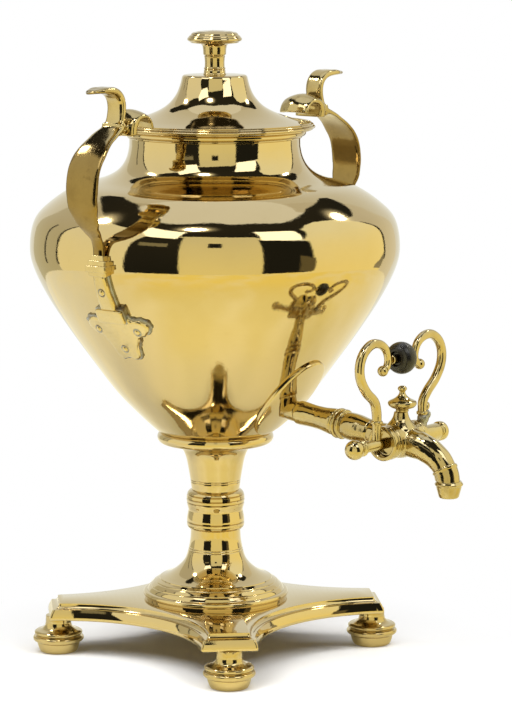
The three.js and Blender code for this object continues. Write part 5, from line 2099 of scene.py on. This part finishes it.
    def cards(self) -> list[Card]:
        """What stands round the urn in the room, as its brass shows it.

        Returns:
            The cards.
        """
        white, black, brown = (1.7, 1.7, 1.6), (0.013, 0.013, 0.011), (0.12, 0.10, 0.05)
        hatch, dim, pale = (0.22, 0.20, 0.13), (0.022, 0.020, 0.015), (0.66, 0.67, 0.62)
        return [
            Card("wall_front", ((-24, -19, 46), (30, -19, 46)), (0.80, 0.71, 0.34), (0.66, 0.62, 0.40)),
            Card("wall_right", ((56, -19, 56), (90, -19, 60), (121, -19, 50)), (0.92, 0.80, 0.36), (0.84, 0.82, 0.62)),
            Card("wall_left", ((-106, -19, 56), (-90, -19, 58), (-46, -19, 60)), (0.84, 0.78, 0.50), (0.76, 0.74, 0.60)),
            Card("roll_left", ((-144, -19, 60), (-106.5, -19, 60)), (0.48, 0.46, 0.33), (0.46, 0.44, 0.37)),
            Card("roll_back_left", ((-180, -19, 60), (-144, -19, 60)), pale, (0.56, 0.55, 0.49)),
            Card("roll_right", ((121.5, -19, 60), (143, -19, 60)), (0.66, 0.62, 0.48), (0.52, 0.50, 0.43)),
            Card("roll_back_right", ((143, -19, 60), (180, -19, 60)), pale, (0.56, 0.55, 0.49)),
            Card("panel_left", ((-54, -16.5, -10), (-51, -16.8, 20), (-47, -17, 41), (-20.5, -17.3, 41)), black, dim, 0.01),
            Card("panel_right", ((27, -17.5, 33), (58, -16.6, 22)), black, black, 0.01),
            Card("panel_corner", ((49.5, -15.2, 4.6), (59.5, -15.7, 0.9)), brown, brown, 0.02),
            Card("lattice_left", ((-46, 18, 24), (-28, 18, 24)), hatch, hatch, 0.02),
            Card("hatch", ((-4, 18, 26), (4, 18, 26)), black, black, 0.01),
            Card("window_left", ((-69, 62, 64), (-46.7, 39.1, 61.5), (-25.1, 36.8, 59)), white, white, 0.02),
            Card("window_right", ((29.3, 31, 33), (33, 30.2, 58.6), (54.5, 25.3, 54), (63, 50, 52)), white, white, 0.02),
            Card(
                "ceiling",
                (
                    (-158, 36, 41.2), (-155, 35, 44), (-139, 44, 58.3), (-115.5, 51.7, 65), (-100, 53.5, 68.6), (-75, 55, 74),
                    (-60, 57, 79), (-46, 40, 82.4), (-25, 43.8, 84.5), (-10, 45, 85), (10, 42.8, 84.5), (24, 41.8, 83.5),
                    (34, 34, 82), (56, 26, 79), (74, 52.3, 76), (91, 57, 67), (105.5, 55.5, 62.8), (115, 48.9, 60),
                    (120, 44, 58), (130, 37.4, 55.2), (136.4, 35.7, 51), (151, 38.5, 41.4),
                ),
                black, dim, 0.005,
            ),
            Card("edge_left", ((-107.6, -12, 38), (-105.6, -12, 38)), black, black, 0.01),
            Card("edge_left_far", ((-122.4, -12, 24), (-120.6, -12, 24)), black, black, 0.01),
            Card("edge_right", ((120.2, -9, 30), (122.4, -9, 34)), black, black, 0.01),
            Card("wedge_right", ((112, -17, -13), (121, -17, -3)), (0.30, 0.27, 0.18), (0.22, 0.20, 0.13), 0.01),
        ]

    def spots(self) -> list[Spot]:
        """The lamps that show as points of light.

        Returns:
            The spots.
        """
        return [
            Spot("lamp_middle", -23, 68.8, 0.20, 40.0),
            Spot("lamp_left", -112.2, 49.2, 0.17, 40.0),
            Spot("lamp_right", 122.8, 44.1, 0.14, 36.0),
        ]

    def on_dome(self, angle: float, rise: float, nearer: float = 0.0) -> Vector:
        """A place on the room's wall or dome.

        Args:
            angle: Degrees from the camera's direction.
            rise: Degrees above the level of the urn's shoulder.
            nearer: How much closer it lies.

        Returns:
            The place.
        """
        radius = self.room_radius - nearer
        a = math.radians(rise)
        flat = radius * (math.cos(a) if a > 0 else 1.0)
        height = self.eye_height + (radius * math.sin(a) if a > 0 else radius * math.tan(a))
        return self.heading(angle) * flat + on_axis(max(height, 0.001))

    def card(self, card: Card) -> None:
        """Bends one card onto the room's dome.

        Args:
            card: The card.
        """
        bm = bmesh.new()
        bmesh.ops.create_grid(bm, x_segments=max(8, 4 * len(card.stations)), y_segments=16, size=1.0)
        first, last = card.stations[0][0], card.stations[-1][0]
        for vert in bm.verts:
            angle = first + (last - first) * (vert.co.x + 1) / 2
            for (a, low_a, high_a), (b, low_b, high_b) in zip(card.stations, card.stations[1:]):
                if angle <= b + 1e-6:
                    t = (angle - a) / (b - a)
                    low, high = low_a + (low_b - low_a) * t, high_a + (high_b - high_a) * t
                    break
            vert.co = self.on_dome(angle, low + (high - low) * (vert.co.y + 1) / 2, card.nearer)
        bmesh.ops.remove_doubles(bm, verts=bm.verts, dist=SAME_PLACE)
        material, shader = new_shader(card.name)
        where = shader.where()
        heights = [vert.co.z for vert in bm.verts]
        cloud = (shader.noise(where, self.card_clouds) - 0.5) * 0.3
        rising = shader.rise(where).ramp(min(heights), max(heights) + 1e-4) + cloud
        tone = shader.mix(rising, card.low, card.high)
        shader.close(shader.node("ShaderNodeEmission", {"Color": tone, "Strength": self.gain}))
        self.hang(card.name, bm, material)

    def spot(self, spot: Spot) -> None:
        """Hangs one lamp with its glare.

        Args:
            spot: The lamp.
        """
        bm = bmesh.new()
        bmesh.ops.create_circle(bm, cap_ends=True, segments=48, radius=spot.size)
        place = self.on_dome(spot.angle, spot.rise, 0.04)
        turn = (on_axis(self.eye_height) - place).to_track_quat("Z", "Y").to_matrix().to_4x4()
        bm.transform(Matrix.Translation(place) @ turn)
        material, shader = new_shader(spot.name)
        away = shader.vector("DISTANCE", shader.where(), tuple(place))
        core = 1.0 - away.ramp(spot.size * 0.2, spot.size * 0.34)
        glare = (1.0 - away.ramp(0.0, spot.size)) ** 3.0
        tone = shader.mix(core, (0.08, 0.075, 0.06), (1.0, 0.98, 0.92))
        glow = shader.node("ShaderNodeEmission", {"Color": tone, "Strength": spot.strength})
        clear = shader.node("ShaderNodeBsdfTransparent", {})
        shader.close(shader.node("ShaderNodeMixShader", {0: glare, 1: clear, 2: glow}))
        self.hang(spot.name, bm, material)

    def hang(self, name: str, bm: bmesh.types.BMesh, material: bpy.types.Material) -> None:
        """Puts a patch of the room where only the brass sees it.

        Args:
            name: Its name.
            bm: Its mesh.
            material: Its material.
        """
        mesh = as_mesh(name, bm)
        mesh.materials.append(material)
        sheet = put(name, mesh)
        sheet.visible_camera = False
        sheet.visible_diffuse = False
        sheet.visible_shadow = False
        sheet.visible_transmission = False


def main() -> None:
    """Builds the studio and the urn."""
    logging.basicConfig(level=logging.INFO, format="%(name)s %(message)s")
    Studio().build()
    vessel = Vessel()
    tap = Tap(vessel)
    parts = [
        Base(),
        Pedestal(),
        vessel,
        Lid(),
        Heater(),
        Handle("right", 0.0, vessel),
        Handle("left", 184.5, vessel),
        tap,
        Lever(tap),
    ]
    for part in parts:
        part.build()


if __name__ == "__main__":
    main()
